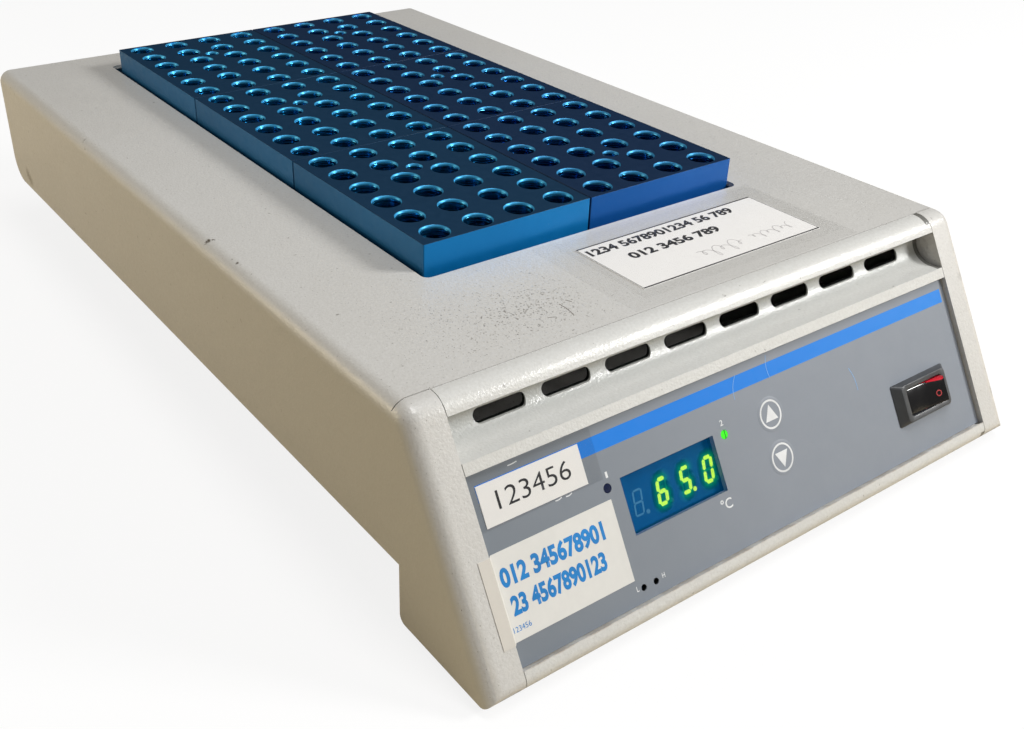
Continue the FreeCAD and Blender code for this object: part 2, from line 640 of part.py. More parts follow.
def front_panel():
    """The painted front: lip, channel with its slots, cove, ledge, recess and lower lip."""
    item = new_body("front_panel")
    outline = new_sketch(item, "YZ_Plane")
    lip, ledge, back = "lip_height", "ledge_height", "(recess + wall)"
    inner_ledge = "(ledge_height - wall)"
    polygon(outline, [
        (f"{CREASE_Y} - slip", "deck_height"), (face_y("deck_height"), "deck_height"),
        (face_y(lip), lip), (f"{face_y(lip)} + {FACE_WALL}", lip),
        (f"{face_y(DECK_UNDER)} + {FACE_WALL}", DECK_UNDER), (CHANNEL_Y, DECK_UNDER),
        (CHANNEL_Y, "cove_height"), (face_y(ledge), ledge), on_face("0", "0"),
        on_face("recess", "0"), on_face("recess", "recess_length"), on_face("0", "recess_length"),
        (NOSE_Y, "skirt_height"), (f"{NOSE_Y} + foot_flange", "skirt_height"),
        (f"{NOSE_Y} + foot_flange", BAY_UNDER), (f"{face_y(BAY_UNDER)} + {FACE_WALL}", BAY_UNDER),
        on_face("wall", "recess_length + wall"), on_face(back, "recess_length + wall"),
        on_face(back, "-wall"), on_face("wall", "-wall"),
        (f"{face_y(inner_ledge)} + {FACE_WALL}", inner_ledge),
        (f"{CHANNEL_Y} + wall", "cove_height - wall"),
        (f"{CHANNEL_Y} + wall", f"{DECK_UNDER} - wall"),
        (f"{CREASE_Y} + tuck_length", f"{DECK_UNDER} - wall"), (f"{CREASE_Y} + tuck_length", DECK_UNDER),
        (f"{CREASE_Y} - slip", DECK_UNDER)])
    pad(item, outline, f"2 * ({SEAM_X} - slip)", both=True)
    fillet(item, "lip_bend", along_x(face_y("deck_height"), "deck_height"))
    fillet(item, "lip_bend / 2", along_x(f"{face_y(DECK_UNDER)} + {FACE_WALL}", DECK_UNDER))
    fillet(item, "cove_radius", along_x(CHANNEL_Y, "cove_height"))
    fillet(item, "cove_radius + wall", along_x(f"{CHANNEL_Y} + wall", "cove_height - wall"))
    fillet(item, "nose_bend - wall", along_x(f"{face_y(BAY_UNDER)} + {FACE_WALL}", BAY_UNDER))
    fillet(item, "nose_bend", along_x(NOSE_Y, "skirt_height"))
    vents = new_sketch(item, "XZ_Plane", f"-{CHANNEL_Y}")
    slot(vents, "-vent_pitch * (vent_count - 1) / 2", "vent_height", "vent_length", "vent_width")
    row_of(item, [pocket(item, vents, "2 * (cove_radius - wall)", both=True, name="Vent")], "X_Axis",
           "vent_pitch", "vent_count")
    holes = new_sketch(item, "XY_Plane", on_slope=True)
    face_openings(holes)
    pocket(item, holes, f"-2 * {PANEL_BACK} + over", both=True, name="FaceOpenings")
    return keep(item)


def face_openings(drawing):
    """The openings for the display, the switch, the lamps, the keys and the trimmers."""
    centred(drawing, "display_x", "-display_y", "display_width", "display_height")
    centred(drawing, "switch_x", "-switch_y", "switch_body_width + 2 * slip", "switch_body_height + 2 * slip")
    for x in ("actual_x", "setpoint_x"):
        circle(drawing, x, "-lamp_y", "lamp_radius + display_play")
    for down in ("up_key_y", "down_key_y"):
        circle(drawing, "key_x", f"-{down}", "key_radius + key_gap")
    for x in ("low_trimmer_x", "high_trimmer_x"):
        circle(drawing, x, "-trimmer_y", "trimmer_hole_radius")


# Face


def control_overlay():
    """The film that fills the recess of the front."""
    item = new_body("control_overlay")
    drawing = new_sketch(item, "XY_Plane")
    side = f"({SEAM_X} - slip - film_margin)"
    rectangle(drawing, f"-{side}", "-(recess_length - film_margin)", side, "-film_margin")
    face_openings(drawing)
    pad(item, drawing, "film")
    return keep(place_on_face(item, inward="recess"))


def display_window():
    """The blue filter: a pane in the opening with a rim behind the panel."""
    pane = face_box("window_pane", "display_x", "display_y", PANEL_BACK,
                    "display_width - 2 * display_play", "display_height - 2 * display_play",
                    f"{FILM_TOP} - {PANEL_BACK}")
    rim = face_box("window_rim", "display_x", "display_y", f"({PANEL_BACK} - rim_thick)",
                   "display_width + 2 * rim_width", "display_height + 2 * rim_width", "rim_thick")
    return keep(fuse("display_window", [pane, rim]))


def display_module():
    """The numeric display on the board, with a shallow well for each digit."""
    top = f"({PANEL_BACK} - rim_thick - 2 * display_play)"
    block = face_box("module_block", "display_x", "display_y", BOARD_FRONT, "module_width",
                     "module_height", f"{top} - {BOARD_FRONT}")
    wells = [
        face_box("digit_well", f"display_x + ({index} - (digit_count - 1) / 2) * digit_pitch",
                 "display_y", f"({top} - digit_sink)", "digit_width", "digit_height", "digit_sink + over")
        for index in range(int(num("digit_count")))]
    return keep(cut("display_module", block, group("digit_wells", wells)))


def lamp(label, x):
    """A small round lamp that stands on the board and fills its hole in the film."""
    rod = face_cylinder(f"{label}_rod", x, "lamp_y", BOARD_FRONT, "lamp_radius",
                        f"{FILM_TOP} - {BOARD_FRONT}")
    collar = face_cylinder(f"{label}_collar", x, "lamp_y", BOARD_FRONT, "lamp_collar",
                           f"({PANEL_BACK} - {BOARD_FRONT}) / 2")
    return keep(fuse(label, [rod, collar]))


def key(label, down):
    """A round key with the collar that keeps it behind the panel, and its stem."""
    collar_top = f"({PANEL_BACK} - key_gap)"
    head = face_cylinder(f"{label}_head", "key_x", down, collar_top, "key_radius",
                         f"{FILM_TOP} + key_rise - {collar_top}")
    collar = face_cylinder(f"{label}_collar", "key_x", down, f"({collar_top} - rim_thick)",
                           "key_radius + rim_thick", "rim_thick")
    low = f"({PLUNGER_TOP} + key_rest_gap)"
    stem = face_cylinder(f"{label}_stem", "key_x", down, low, "key_stem_radius",
                         f"{collar_top} - rim_thick - {low}")
    return keep(fuse(label, [head, collar, stem]))


def key_switch(label, down):
    """A small push switch on the board under a key."""
    body = face_box(f"{label}_body", "key_x", down, BOARD_FRONT, "key_switch_side", "key_switch_side",
                    "key_switch_height")
    plunger = face_cylinder(f"{label}_plunger", "key_x", down, f"({BOARD_FRONT} + key_switch_height)",
                            "plunger_radius", "plunger_length")
    return keep(fuse(label, [body, plunger]))


def trimmer(label, x):
    """A square trimmer with a round seat for its screw."""
    body = face_box(f"{label}_body", x, "trimmer_y", BOARD_FRONT, "trimmer_side", "trimmer_side",
                    "trimmer_height")
    seat = face_cylinder(f"{label}_seat", x, "trimmer_y",
                         f"({BOARD_FRONT} + trimmer_height - trimmer_seat_depth)",
                         "trimmer_screw_radius + screw_play", "trimmer_seat_depth + over")
    return keep(cut(label, body, seat))


def trim_screw(label, x):
    """The slotted screw of a trimmer."""
    low = f"({BOARD_FRONT} + trimmer_height - trimmer_seat_depth + rocker_play)"
    screw = face_cylinder(f"{label}_rod", x, "trimmer_y", low, "trimmer_screw_radius",
                          "trimmer_screw_length")
    groove = face_box(f"{label}_slot", x, "trimmer_y", f"({low} + trimmer_screw_length - trimmer_slot)",
                      "2 * trimmer_screw_radius + over", "trimmer_slot", "trimmer_slot + over")
    return keep(cut(label, screw, groove))


# Power switch


def tilted(run, rise):
    """Place of a point of the rocker, given from its pivot, when its left end is pressed."""
    x = f"(switch_x + ({run}) * cos(rocker_tilt) - ({rise}) * sin(rocker_tilt))"
    out = f"({PIVOT_OUT} + ({run}) * sin(rocker_tilt) + ({rise}) * cos(rocker_tilt))"
    return x, out


def rocker_piece(label, low, high):
    """A layer of the rocker between two heights over its pivot, with round ends."""
    item = new_body(label)
    drawing = new_sketch(item, "XZ_Plane", "switch_y")
    reach = "(rocker_length / 2)"
    corners = [tilted(f"-{reach}", high(reach)), tilted("0", high("0")), tilted(reach, high(reach))]
    corners += [tilted(reach, low(reach)), tilted("0", low("0")), tilted(f"-{reach}", low(reach))]
    polygon(drawing, corners)
    pad(item, drawing, "rocker_width - 2 * rocker_play", both=True)
    ends = new_sketch(item, "XZ_Plane", "switch_y")
    circle(ends, "switch_x", PIVOT_OUT, "rocker_length")
    circle(ends, "switch_x", PIVOT_OUT, "rocker_length / 2 - rocker_play")
    pocket(item, ends, "rocker_width", both=True, name="RoundEnds")
    return item


def rocker():
    """The red core on its axle and the black cap over it."""
    def top(run):
        return f"rocker_rise + ({run}) * tan(rocker_tilt)"
    core = rocker_piece("rocker_core", lambda run: "-rocker_drop",
                        lambda run: f"{top(run)} - rocker_cap_thick")
    axle = new_sketch(core, "XZ_Plane", "switch_y")
    circle(axle, "switch_x", PIVOT_OUT, "rocker_pivot_radius")
    pad(core, axle, "rocker_width + 2 * axle_reach", both=True, name="Axle")
    keep(place_on_face(core))
    cap = rocker_piece("rocker_cap", lambda run: f"{top(run)} - rocker_cap_thick", top)
    keep(place_on_face(cap))


def switch_housing():
    """The housing of the rocker: a raised bezel over a box with a cavity and two bores."""
    item = new_body("switch_housing")
    foot = new_sketch(item, "XY_Plane", FILM_TOP)
    centred(foot, "switch_x", "-switch_y", "bezel_width", "bezel_height")
    bezel = pad(item, foot, "bezel_rise", name="Bezel")
    bezel.setExpression("TaperAngle", bound("-atan((bezel_height - bezel_top_height) / 2 / bezel_rise)"))
    trunk = new_sketch(item, "XY_Plane", FILM_TOP)
    centred(trunk, "switch_x", "-switch_y", "switch_body_width", "switch_body_height")
    pad(item, trunk, "switch_body_depth", back=True, name="Trunk")
    mouth = new_sketch(item, "XY_Plane", f"{FILM_TOP} + bezel_rise")
    centred(mouth, "switch_x", "-switch_y", "rocker_length", "rocker_width")
    pocket(item, mouth, "bezel_rise + switch_cavity_depth", name="Cavity")
    bores = new_sketch(item, "XZ_Plane", "switch_y")
    circle(bores, "switch_x", PIVOT_OUT, "rocker_pivot_radius + screw_play")
    pocket(item, bores, "rocker_width + 2 * axle_reach + 2 * rocker_play", both=True, name="Bores")
    return keep(place_on_face(item))


def switch_terminals():
    """Three flat tabs behind the switch."""
    tabs = [
        face_box("switch_tab", f"switch_x + ({index}) * switch_body_width / 3", "switch_y",
                 f"({FILM_TOP} - switch_body_depth - terminal_length)", "terminal_thick",
                 "terminal_width", "terminal_length")
        for index in (-1, 0, 1)]
    return keep(group("switch_terminals", tabs))


# Display board


def board_corners():
    """The four places at which the board is held."""
    return [
        (x, down)
        for x in ("(board_left + board_inset)", "(board_right - board_inset)")
        for down in ("(board_top + board_inset)", "(board_bottom - board_inset)")]


def display_board():
    """The board with its posts and the screws that hold it."""
    board = face_box("board_sheet", "(board_left + board_right) / 2", "(board_top + board_bottom) / 2",
                     f"({BOARD_FRONT} - board_thick)", "board_right - board_left",
                     "board_bottom - board_top", "board_thick")
    hole = "small_screw_radius + screw_play"
    depth = f"{PANEL_BACK} - {BOARD_FRONT}"
    holes, posts, screws = [], [], []
    for x, down in board_corners():
        holes.append(face_cylinder("board_hole", x, down, f"({BOARD_FRONT} - board_thick - over)", hole,
                                   "board_thick + 2 * over"))
        post = face_cylinder("post_rod", x, down, BOARD_FRONT, "post_radius", depth)
        bore = face_cylinder("post_bore", x, down, f"({BOARD_FRONT} - over)", hole, f"({depth}) / 2 + over")
        posts.append(cut("board_post", post, bore))
        head = face_cylinder("screw_head", x, down, f"({BOARD_FRONT} - board_thick - screw_head_height)",
                             "screw_head_radius", "screw_head_height")
        shank = face_cylinder("screw_shank", x, down, f"({BOARD_FRONT} - board_thick)",
                              "small_screw_radius", "board_thick + small_screw_grip")
        screws.append(fuse("board_screw", [head, shank]))
    keep(cut("display_board", board, group("board_holes", holes)))
    keep(group("board_posts", posts))
    keep(group("board_screws", screws))


# Sample blocks


def sample_block(label, column, line, turned_round):
    """One block with its rows of tube wells and its thermometer well."""
    item = new_body(label)
    outline = new_sketch(item, "XY_Plane")
    centred(outline, "0", "0", "block_width", "block_depth")
    pad(item, outline, "block_height")
    fillet(item, "block_corner", lambda middle, direction: abs(abs(direction.z) - 1) < 1e-6)
    top = num("block_height")
    chamfer(item, "block_chamfer", lambda middle, direction: abs(middle.z - top) < 0.01)
    wells = new_sketch(item, "XY_Plane", "block_height")
    for index in range(int(num("tube_rows"))):
        circle(wells, "-tube_pitch_x * (tube_columns - 1) / 2",
               f"tube_pitch_y * ({index} - (tube_rows - 1) / 2)", "tube_radius")
    row_of(item, [pocket(item, wells, "tube_depth", name="TubeWells")], "X_Axis", "tube_pitch_x",
           "tube_columns")
    probe = new_sketch(item, "XY_Plane", "block_height")
    circle(probe, "0", "-tube_pitch_y" if turned_round else "tube_pitch_y", "probe_well_radius")
    pocket(item, probe, "probe_well_depth", name="ThermometerWell")
    return keep(put(
        item, f"block_aside + ({column}) * (block_width + block_gap)",
        f"block_y + ({line}) * (block_depth + block_gap)", BLOCK_FLOOR))


def sample_blocks():
    """Six blocks, two across and three deep."""
    for line, place in enumerate(BLOCK_LINES):
        for column, side in enumerate(BLOCK_SIDES):
            sample_block(f"block_{place}_{side}", column - (len(BLOCK_SIDES) - 1) / 2,
                         line - (len(BLOCK_LINES) - 1) / 2, (place, side) == ("front", "right"))


# Well tray and heater


def well_tray():
    """The folded tray that hangs under the deck round the blocks."""
    inner_width, inner_depth = "(well_width - 2 * tray_wall)", "(well_depth - 2 * tray_wall)"
    flange = box("tray_flange_plate", "0", "well_y", f"({DECK_UNDER} - tray_wall)",
                 "well_width + 2 * tray_flange", "well_depth + 2 * tray_flange", "tray_wall")
    trunk = box("tray_trunk", "0", "well_y", LEDGE_UNDER, "well_width", "well_depth",
                f"{DECK_UNDER} - {LEDGE_UNDER}")
    room = box("tray_room", "0", "well_y", PLATE_UNDER, inner_width, inner_depth,
               f"{DECK_UNDER} - {PLATE_UNDER} + over")
    mouth = box("tray_mouth", "0", "well_y", f"({LEDGE_UNDER} - over)", f"{inner_width} - 2 * tray_ledge",
                f"{inner_depth} - 2 * tray_ledge", f"{PLATE_UNDER} - {LEDGE_UNDER} + 2 * over")
    bore = lying_rod("tray_bore", "probe_radius + slip", f"({WELL_FRONT} - over)", "tray_wall + 2 * over")
    keep(cut("well_tray", fuse("tray_sheet", [flange, trunk]), fuse("tray_space", [room, mouth, bore])))
    posts = [
        cylinder("tray_post", f"({side}) * ({inner_width} - tray_ledge) / 2",
                 f"well_y + ({end}) * ({inner_depth} - tray_ledge) / 2", FLOOR_TOP, "tray_post_radius",
                 f"{LEDGE_UNDER} - {FLOOR_TOP}")
        for side in (-1, 1) for end in (-1, 1)]
    keep(group("tray_posts", posts))


def lying_rod(label, radius, front, length):
    """A rod along Y in the middle of the heater plate's edge."""
    item = doc.addObject("Part::Cylinder", label)
    item.Label = label
    item.Placement = Placement(Vector(0, 0, 0), Rotation(Vector(1, 0, 0), -90))
    item.setExpression("Radius", bound(radius))
    item.setExpression("Height", bound(length))
    return put(item, "block_aside", front, f"{PLATE_UNDER} + plate_thick / 2")


def heater():
    """The plate under the blocks, its flat element, the pad, the cut-out and the probe."""
    width = "(well_width - 2 * tray_wall - 2 * plate_play)"
    depth = "(well_depth - 2 * tray_wall - 2 * plate_play)"
    front = f"({WELL_FRONT} + tray_wall + plate_play)"
    plate = box("plate_sheet", "0", "well_y", PLATE_UNDER, width, depth, "plate_thick")
    bore = lying_rod("plate_bore", "probe_radius + probe_play", f"({front} - over)",
                     "probe_length - probe_lead + 2 * over")
    keep(cut("heater_plate", plate, bore))
    keep(lying_rod("temperature_probe", "probe_radius", f"({front} - probe_lead)", "probe_length"))
    element_under = f"({PLATE_UNDER} - heater_thick)"
    for label, low, thick in (
            ("heating_element", element_under, "heater_thick"),
            ("insulation_pad", FLOOR_TOP, f"{element_under} - {FLOOR_TOP}")):
        sheet_box = box(f"{label}_sheet", "0", "well_y", low, f"{width} - 2 * heater_inset",
                        f"{depth} - 2 * heater_inset", thick)
        hole = cylinder(f"{label}_hole", "0", "well_y", f"({low} - over)", "cutoff_radius + cutoff_play",
                        f"{thick} + 2 * over")
        keep(cut(label, sheet_box, hole))
    keep(cylinder("thermal_cutoff", "0", "well_y", FLOOR_TOP, "cutoff_radius",
                  f"{PLATE_UNDER} - {FLOOR_TOP}"))


# Electronics on the floor


def power_board():
    """The board beside the blocks, its posts and the parts on it."""
    low = f"({FLOOR_TOP} + post_height)"
    top = f"({low} + board_thick)"
    keep(box("power_board", "power_board_x", "power_board_y", low, "power_board_width",
             "power_board_length", "board_thick"))
    posts = [
        cylinder("power_post", f"power_board_x + ({side}) * (power_board_width / 2 - board_inset)",
                 f"power_board_y + ({end}) * (power_board_length / 2 - board_inset)", FLOOR_TOP,
                 "post_radius", "post_height")
        for side in (-1, 1) for end in (-1, 1)]
    keep(group("power_board_posts", posts))
    base = box("sink_plate", "power_board_x", "triac_y", top, "sink_base", "sink_width", "sink_height")
    fins = [
        box("sink_fin", "power_board_x + sink_thick / 2",
            f"triac_y + ({index} / (sink_fins - 1) - 1 / 2) * (sink_width - wall)", top, "sink_thick",
            "wall", "sink_height")
        for index in range(int(num("sink_fins")))]
    keep(fuse("heat_sink", [base] + fins))
    keep(box("triac", "power_board_x - sink_base / 2 - triac_thick / 2", "triac_y", top, "triac_thick",
             "triac_width", "triac_height"))
    body = box("terminal_body", "power_board_x", "terminal_block_y", top, "terminal_block_width",
               "terminal_block_length", "terminal_block_height")
    holes = [
        cylinder("terminal_hole", "power_board_x",
                 f"terminal_block_y + ({index}) * terminal_block_length / 3",
                 f"({top} + terminal_block_height / 2)", "small_screw_radius", "terminal_block_height")
        for index in (-1, 0, 1)]
    keep(cut("terminal_block", body, group("terminal_holes", holes)))
    core = box("transformer_core", "power_board_x", "transformer_y",
               f"({FLOOR_TOP} + (transformer_height - bobbin_height) / 2)", "transformer_width",
               "transformer_length - 2 * bobbin_overhang", "bobbin_height")
    bobbin = box("transformer_bobbin", "power_board_x", "transformer_y", FLOOR_TOP, "bobbin_width",
                 "transformer_length", "transformer_height")
    keep(fuse("transformer", [core, bobbin]))


# Mains inlet


def mains_inlet():
    """The flush inlet behind the rear wall, its three pins and two screws."""
    back = "(case_depth / 2)"
    body = box("inlet_body", "inlet_x", f"{back} - inlet_depth / 2", "inlet_height - inlet_tall / 2",
               "inlet_width", "inlet_depth", "inlet_tall")
    flange = box("inlet_flange", "inlet_x", f"{REAR_FACE} - inlet_flange_thick / 2",
                 "inlet_height - inlet_flange_tall / 2", "inlet_flange_width", "inlet_flange_thick",
                 "inlet_flange_tall")
    cavity = box("inlet_cavity", "inlet_x", f"{back} - (inlet_depth - inlet_floor) / 2 + over / 2",
                 "inlet_height - inlet_tall / 2 + inlet_wall", "inlet_width - 2 * inlet_wall",
                 "inlet_depth - inlet_floor + over", "inlet_tall - 2 * inlet_wall")
    bores = []
    screws = []
    for side in (-1, 1):
        x = f"(inlet_x + ({side}) * inlet_screw_span / 2)"
        bores.append(cross_rod("inlet_bore", x, "small_screw_radius + screw_play",
                               f"({REAR_FACE} - inlet_flange_thick - over)", "inlet_flange_thick + 2 * over"))
        shank = cross_rod("inlet_shank", x, "small_screw_radius", f"({REAR_FACE} - inlet_flange_thick)",
                          "inlet_flange_thick + wall")
        head = cross_rod("inlet_head", x, "screw_head_radius",
                         f"({REAR_FACE} - inlet_flange_thick - screw_head_height)", "screw_head_height")
        screws.append(fuse("inlet_screw", [shank, head]))
    keep(cut("mains_inlet", fuse("inlet_solid", [body, flange]), group("inlet_space", [cavity] + bores)))
    pins = [
        box("inlet_pin", f"inlet_x + ({side}) * pin_spread",
            f"{back} - inlet_depth + inlet_floor + pin_length / 2",
            f"inlet_height + ({rise}) * pin_offset - pin_width / 2", "pin_thick", "pin_length", "pin_width")
        for side, rise in ((-1, -1), (0, 1), (1, -1))]
    keep(group("inlet_pins", pins))
    keep(group("inlet_screws", screws))


def cross_rod(label, x, radius, front, length):
    """A rod along Y at the height of the inlet."""
    item = doc.addObject("Part::Cylinder", label)
    item.Label = label
    item.Placement = Placement(Vector(0, 0, 0), Rotation(Vector(1, 0, 0), -90))
    item.setExpression("Radius", bound(radius))
    item.setExpression("Height", bound(length))
    return put(item, x, front, "inlet_height")


# Feet and case screws


def feet():
    """Two short pads under the front, two tall feet under the tail, and their screws."""
    screws = []
    for place, y, top in (("front", "front_foot_y", "skirt_height"), ("rear", "rear_foot_y", FLOOR_UNDER)):
        for side, name in ((-1, "left"), (1, "right")):
            x = f"({side}) * foot_x"
            item = turned(f"{place}_{name}_foot", [
                ("foot_screw_radius + screw_play", "foot_sink"), ("foot_screw_head + slip", "foot_sink"),
                ("foot_screw_head + slip", "0"), ("foot_lower_radius", "0"), ("foot_radius", top),
                ("foot_screw_radius + screw_play", top)])
            keep(put(item, x, y, "0"))
            head = cylinder("foot_screw_head", x, y, "foot_sink - foot_screw_head_height", "foot_screw_head",
                            "foot_screw_head_height")
            shank = cylinder("foot_screw_shank", x, y, "foot_sink", "foot_screw_radius", f"{top} - foot_sink")
            screws.append(fuse("foot_screw", [head, shank]))
    keep(group("foot_screws", screws))


def case_screws():
    """Screws from below through the side flanges into the floor."""
    screws = []
    for side in (-1, 1):
        for end in (-1, 1):
            screws.append(cylinder(
                "case_screw", f"({side}) * (case_width / 2 - case_screw_side_inset)",
                f"({end}) * (case_depth / 2 - case_screw_end_inset)", "tail_height - screw_head_height",
                "screw_head_radius", "screw_head_height"))
    return keep(group("case_screws", screws))


# Labels


def labels():
    """The paper labels of the deck and the front."""
    keep(box("deck_label", "deck_label_x", "deck_label_y", "deck_height", "deck_label_width",
             "deck_label_depth", "paper"))
    keep(face_box("number_label", "number_label_x", "number_label_y", FILM_TOP, "number_label_width",
                  "number_label_height", "paper"))
    item = new_body("status_label")
    drawing = new_sketch(item, "XZ_Plane", "(status_label_top + status_label_bottom) / 2")
    fold = f"(-({SEAM_X}) + label_fold)"
    polygon(drawing, [
        ("status_label_left", "0"), (f"-{SEAM_X}", "0"), (fold, FILM_TOP), ("status_label_right", FILM_TOP),
        ("status_label_right", f"{FILM_TOP} + paper"), (fold, f"{FILM_TOP} + paper"),
        (f"-{SEAM_X}", "paper"), ("status_label_left", "paper")])
    pad(item, drawing, "status_label_bottom - status_label_top", both=True)
    keep(place_on_face(item))


case_shell()
base_pan()
front_panel()
control_overlay()
display_window()
display_module()
lamp("actual_lamp", "actual_x")
lamp("setpoint_lamp", "setpoint_x")
key("up_key", "up_key_y")
key("down_key", "down_key_y")
key_switch("up_key_switch", "up_key_y")
key_switch("down_key_switch", "down_key_y")
trimmer("low_trimmer", "low_trimmer_x")
trimmer("high_trimmer", "high_trimmer_x")
trim_screw("low_trim_screw", "low_trimmer_x")
trim_screw("high_trim_screw", "high_trimmer_x")
switch_housing()
rocker()
switch_terminals()
display_board()
sample_blocks()
well_tray()
heater()
power_board()
mains_inlet()
feet()
case_screws()
labels()
doc.recompute()

# Checks and export
for item in doc.Objects:
    if any(state in ("Invalid", "Error") for state in item.State):
        raise RuntimeError(f"{item.Label} is {item.State}")
os.makedirs("parts", exist_ok=True)
for item in NODES:
    if item.Shape.isNull() or not item.Shape.isValid() or not item.Shape.Solids:
        raise RuntimeError(f"{item.Label} has no sound shape")
    item.Shape.exportStep(f"parts/{item.Label}.step")
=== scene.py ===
"""Looks of the bench heating block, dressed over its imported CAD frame.

The frame's axes are X to the right, Y to the back and Z up. Blender works in metres, but sizes and
places on the object are written here in millimetres. on_face takes x, the way down the slope and the
height out of it; on_film and on_paper do the same from the film and from the paper over it. on_deck
takes x, y and the height over the deck, and on_label does so from the middle of the deck label.
"""
import json
import math
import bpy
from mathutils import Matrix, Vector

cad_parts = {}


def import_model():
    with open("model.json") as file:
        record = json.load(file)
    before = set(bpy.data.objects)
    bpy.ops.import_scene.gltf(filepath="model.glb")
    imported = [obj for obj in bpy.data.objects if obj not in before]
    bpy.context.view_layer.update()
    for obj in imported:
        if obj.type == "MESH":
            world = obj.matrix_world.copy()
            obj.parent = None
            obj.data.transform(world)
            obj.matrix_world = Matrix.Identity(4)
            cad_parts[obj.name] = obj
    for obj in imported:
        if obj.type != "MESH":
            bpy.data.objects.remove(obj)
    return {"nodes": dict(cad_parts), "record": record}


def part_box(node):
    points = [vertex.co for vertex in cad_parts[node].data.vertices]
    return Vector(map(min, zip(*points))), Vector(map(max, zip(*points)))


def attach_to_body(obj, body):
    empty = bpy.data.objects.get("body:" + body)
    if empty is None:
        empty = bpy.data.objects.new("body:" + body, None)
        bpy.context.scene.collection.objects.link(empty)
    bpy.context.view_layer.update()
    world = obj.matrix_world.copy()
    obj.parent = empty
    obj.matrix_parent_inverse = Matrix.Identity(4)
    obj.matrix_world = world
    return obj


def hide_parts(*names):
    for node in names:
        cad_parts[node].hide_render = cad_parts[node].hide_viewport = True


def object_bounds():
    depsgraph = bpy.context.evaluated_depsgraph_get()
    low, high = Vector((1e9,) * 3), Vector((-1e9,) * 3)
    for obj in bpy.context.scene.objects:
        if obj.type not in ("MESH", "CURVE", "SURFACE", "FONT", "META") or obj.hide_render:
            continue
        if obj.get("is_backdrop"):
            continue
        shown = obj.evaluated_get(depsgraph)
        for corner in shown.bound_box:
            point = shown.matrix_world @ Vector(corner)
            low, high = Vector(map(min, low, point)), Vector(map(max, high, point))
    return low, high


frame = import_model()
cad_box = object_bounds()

from types import SimpleNamespace

import bmesh
import bpy
from mathutils import Matrix, Vector
from mathutils.geometry import delaunay_2d_cdt

MM = 0.001
NODES = frame["nodes"]
STILL = "case"
SLOTS = {part["node"]: part["material_slot"] for part in frame["record"]["subparts"]}

# Places on the object, in millimetres


def node_box(node):
    """The low and the high corner of a node."""
    return [Vector(corner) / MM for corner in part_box(node)]


FACE_TILT = math.radians(31)
FACE_Y = -182.94
FACE_Z = 62.3
FACE_UP = Vector((0, math.sin(FACE_TILT), math.cos(FACE_TILT)))
FACE_OUT = Vector((0, -math.cos(FACE_TILT), math.sin(FACE_TILT)))
FILM_TOP = -2.0
PAPER = 0.2
INK = 0.03
LABEL_LOW, LABEL_HIGH = node_box("deck_label")
LABEL_MIDDLE = (LABEL_LOW + LABEL_HIGH) / 2
DECK_Z = LABEL_LOW.z


def on_face(x, down, out=FILM_TOP):
    """A place on the slope."""
    return (Vector((x, FACE_Y, FACE_Z)) - FACE_UP * down + FACE_OUT * out) * MM


def on_film(x, down, above):
    """A place over the film of the front."""
    return on_face(x, down, FILM_TOP + above)


def on_paper(x, down, above):
    """A place over a paper label of the front."""
    return on_face(x, down, FILM_TOP + PAPER + above)


def on_deck(x, y, above=0.0):
    """A place on the deck."""
    return Vector((x, y, DECK_Z + above)) * MM


def on_label(x, y, above):
    """A place on the deck label, from its middle."""
    return on_deck(LABEL_MIDDLE.x + x, LABEL_MIDDLE.y + y, PAPER + above)


# Camera and light

IMAGE_WIDTH, IMAGE_HEIGHT = 1024, 729
FOCAL_PIXELS = 1131.5
CENTRE_PIXEL = (465.2, 343.3)
CAMERA_TURNS = [math.radians(angle) for angle in (-36.087, 30.13, 1.108)]
CAMERA_PLACE = Vector((-0.27172, -0.39538, 0.26006))
SENSOR = 36


def add_object(name, data):
    """A new object of the scene."""
    item = bpy.data.objects.new(name, data)
    bpy.context.scene.collection.objects.link(item)
    return item


def camera():
    """The camera at the photograph's viewing angle, with the shift of its framing."""
    data = bpy.data.cameras.new("camera")
    data.sensor_width = SENSOR
    data.lens = FOCAL_PIXELS * SENSOR / IMAGE_WIDTH
    data.shift_x = (IMAGE_WIDTH / 2 - CENTRE_PIXEL[0]) / IMAGE_WIDTH
    data.shift_y = (CENTRE_PIXEL[1] - IMAGE_HEIGHT / 2) / IMAGE_WIDTH
    data.clip_start = 0.01
    item = add_object("camera", data)
    azimuth, elevation, roll = CAMERA_TURNS
    level = Vector((math.sin(azimuth), -math.cos(azimuth), 0))
    back = level * math.cos(elevation) + Vector((0, 0, math.sin(elevation)))
    right = Vector((math.cos(azimuth), math.sin(azimuth), 0))
    up = back.cross(right)
    axis_x = math.cos(roll) * right + math.sin(roll) * up
    axis_y = -math.sin(roll) * right + math.cos(roll) * up
    item.matrix_world = Matrix.LocRotScale(CAMERA_PLACE, Matrix((axis_x, axis_y, back)).transposed(), None)
    bpy.context.scene.camera = item


def lamp(name, place, aim, width, height, power, colour):
    """A soft rectangular lamp turned to a point."""
    data = bpy.data.lights.new(name, "AREA")
    data.shape = "RECTANGLE"
    data.size = width
    data.size_y = height
    data.energy = power
    data.color = colour
    item = add_object(name, data)
    item.location = place
    item.rotation_euler = (Vector(aim) - Vector(place)).to_track_quat("-Z", "Y").to_euler()


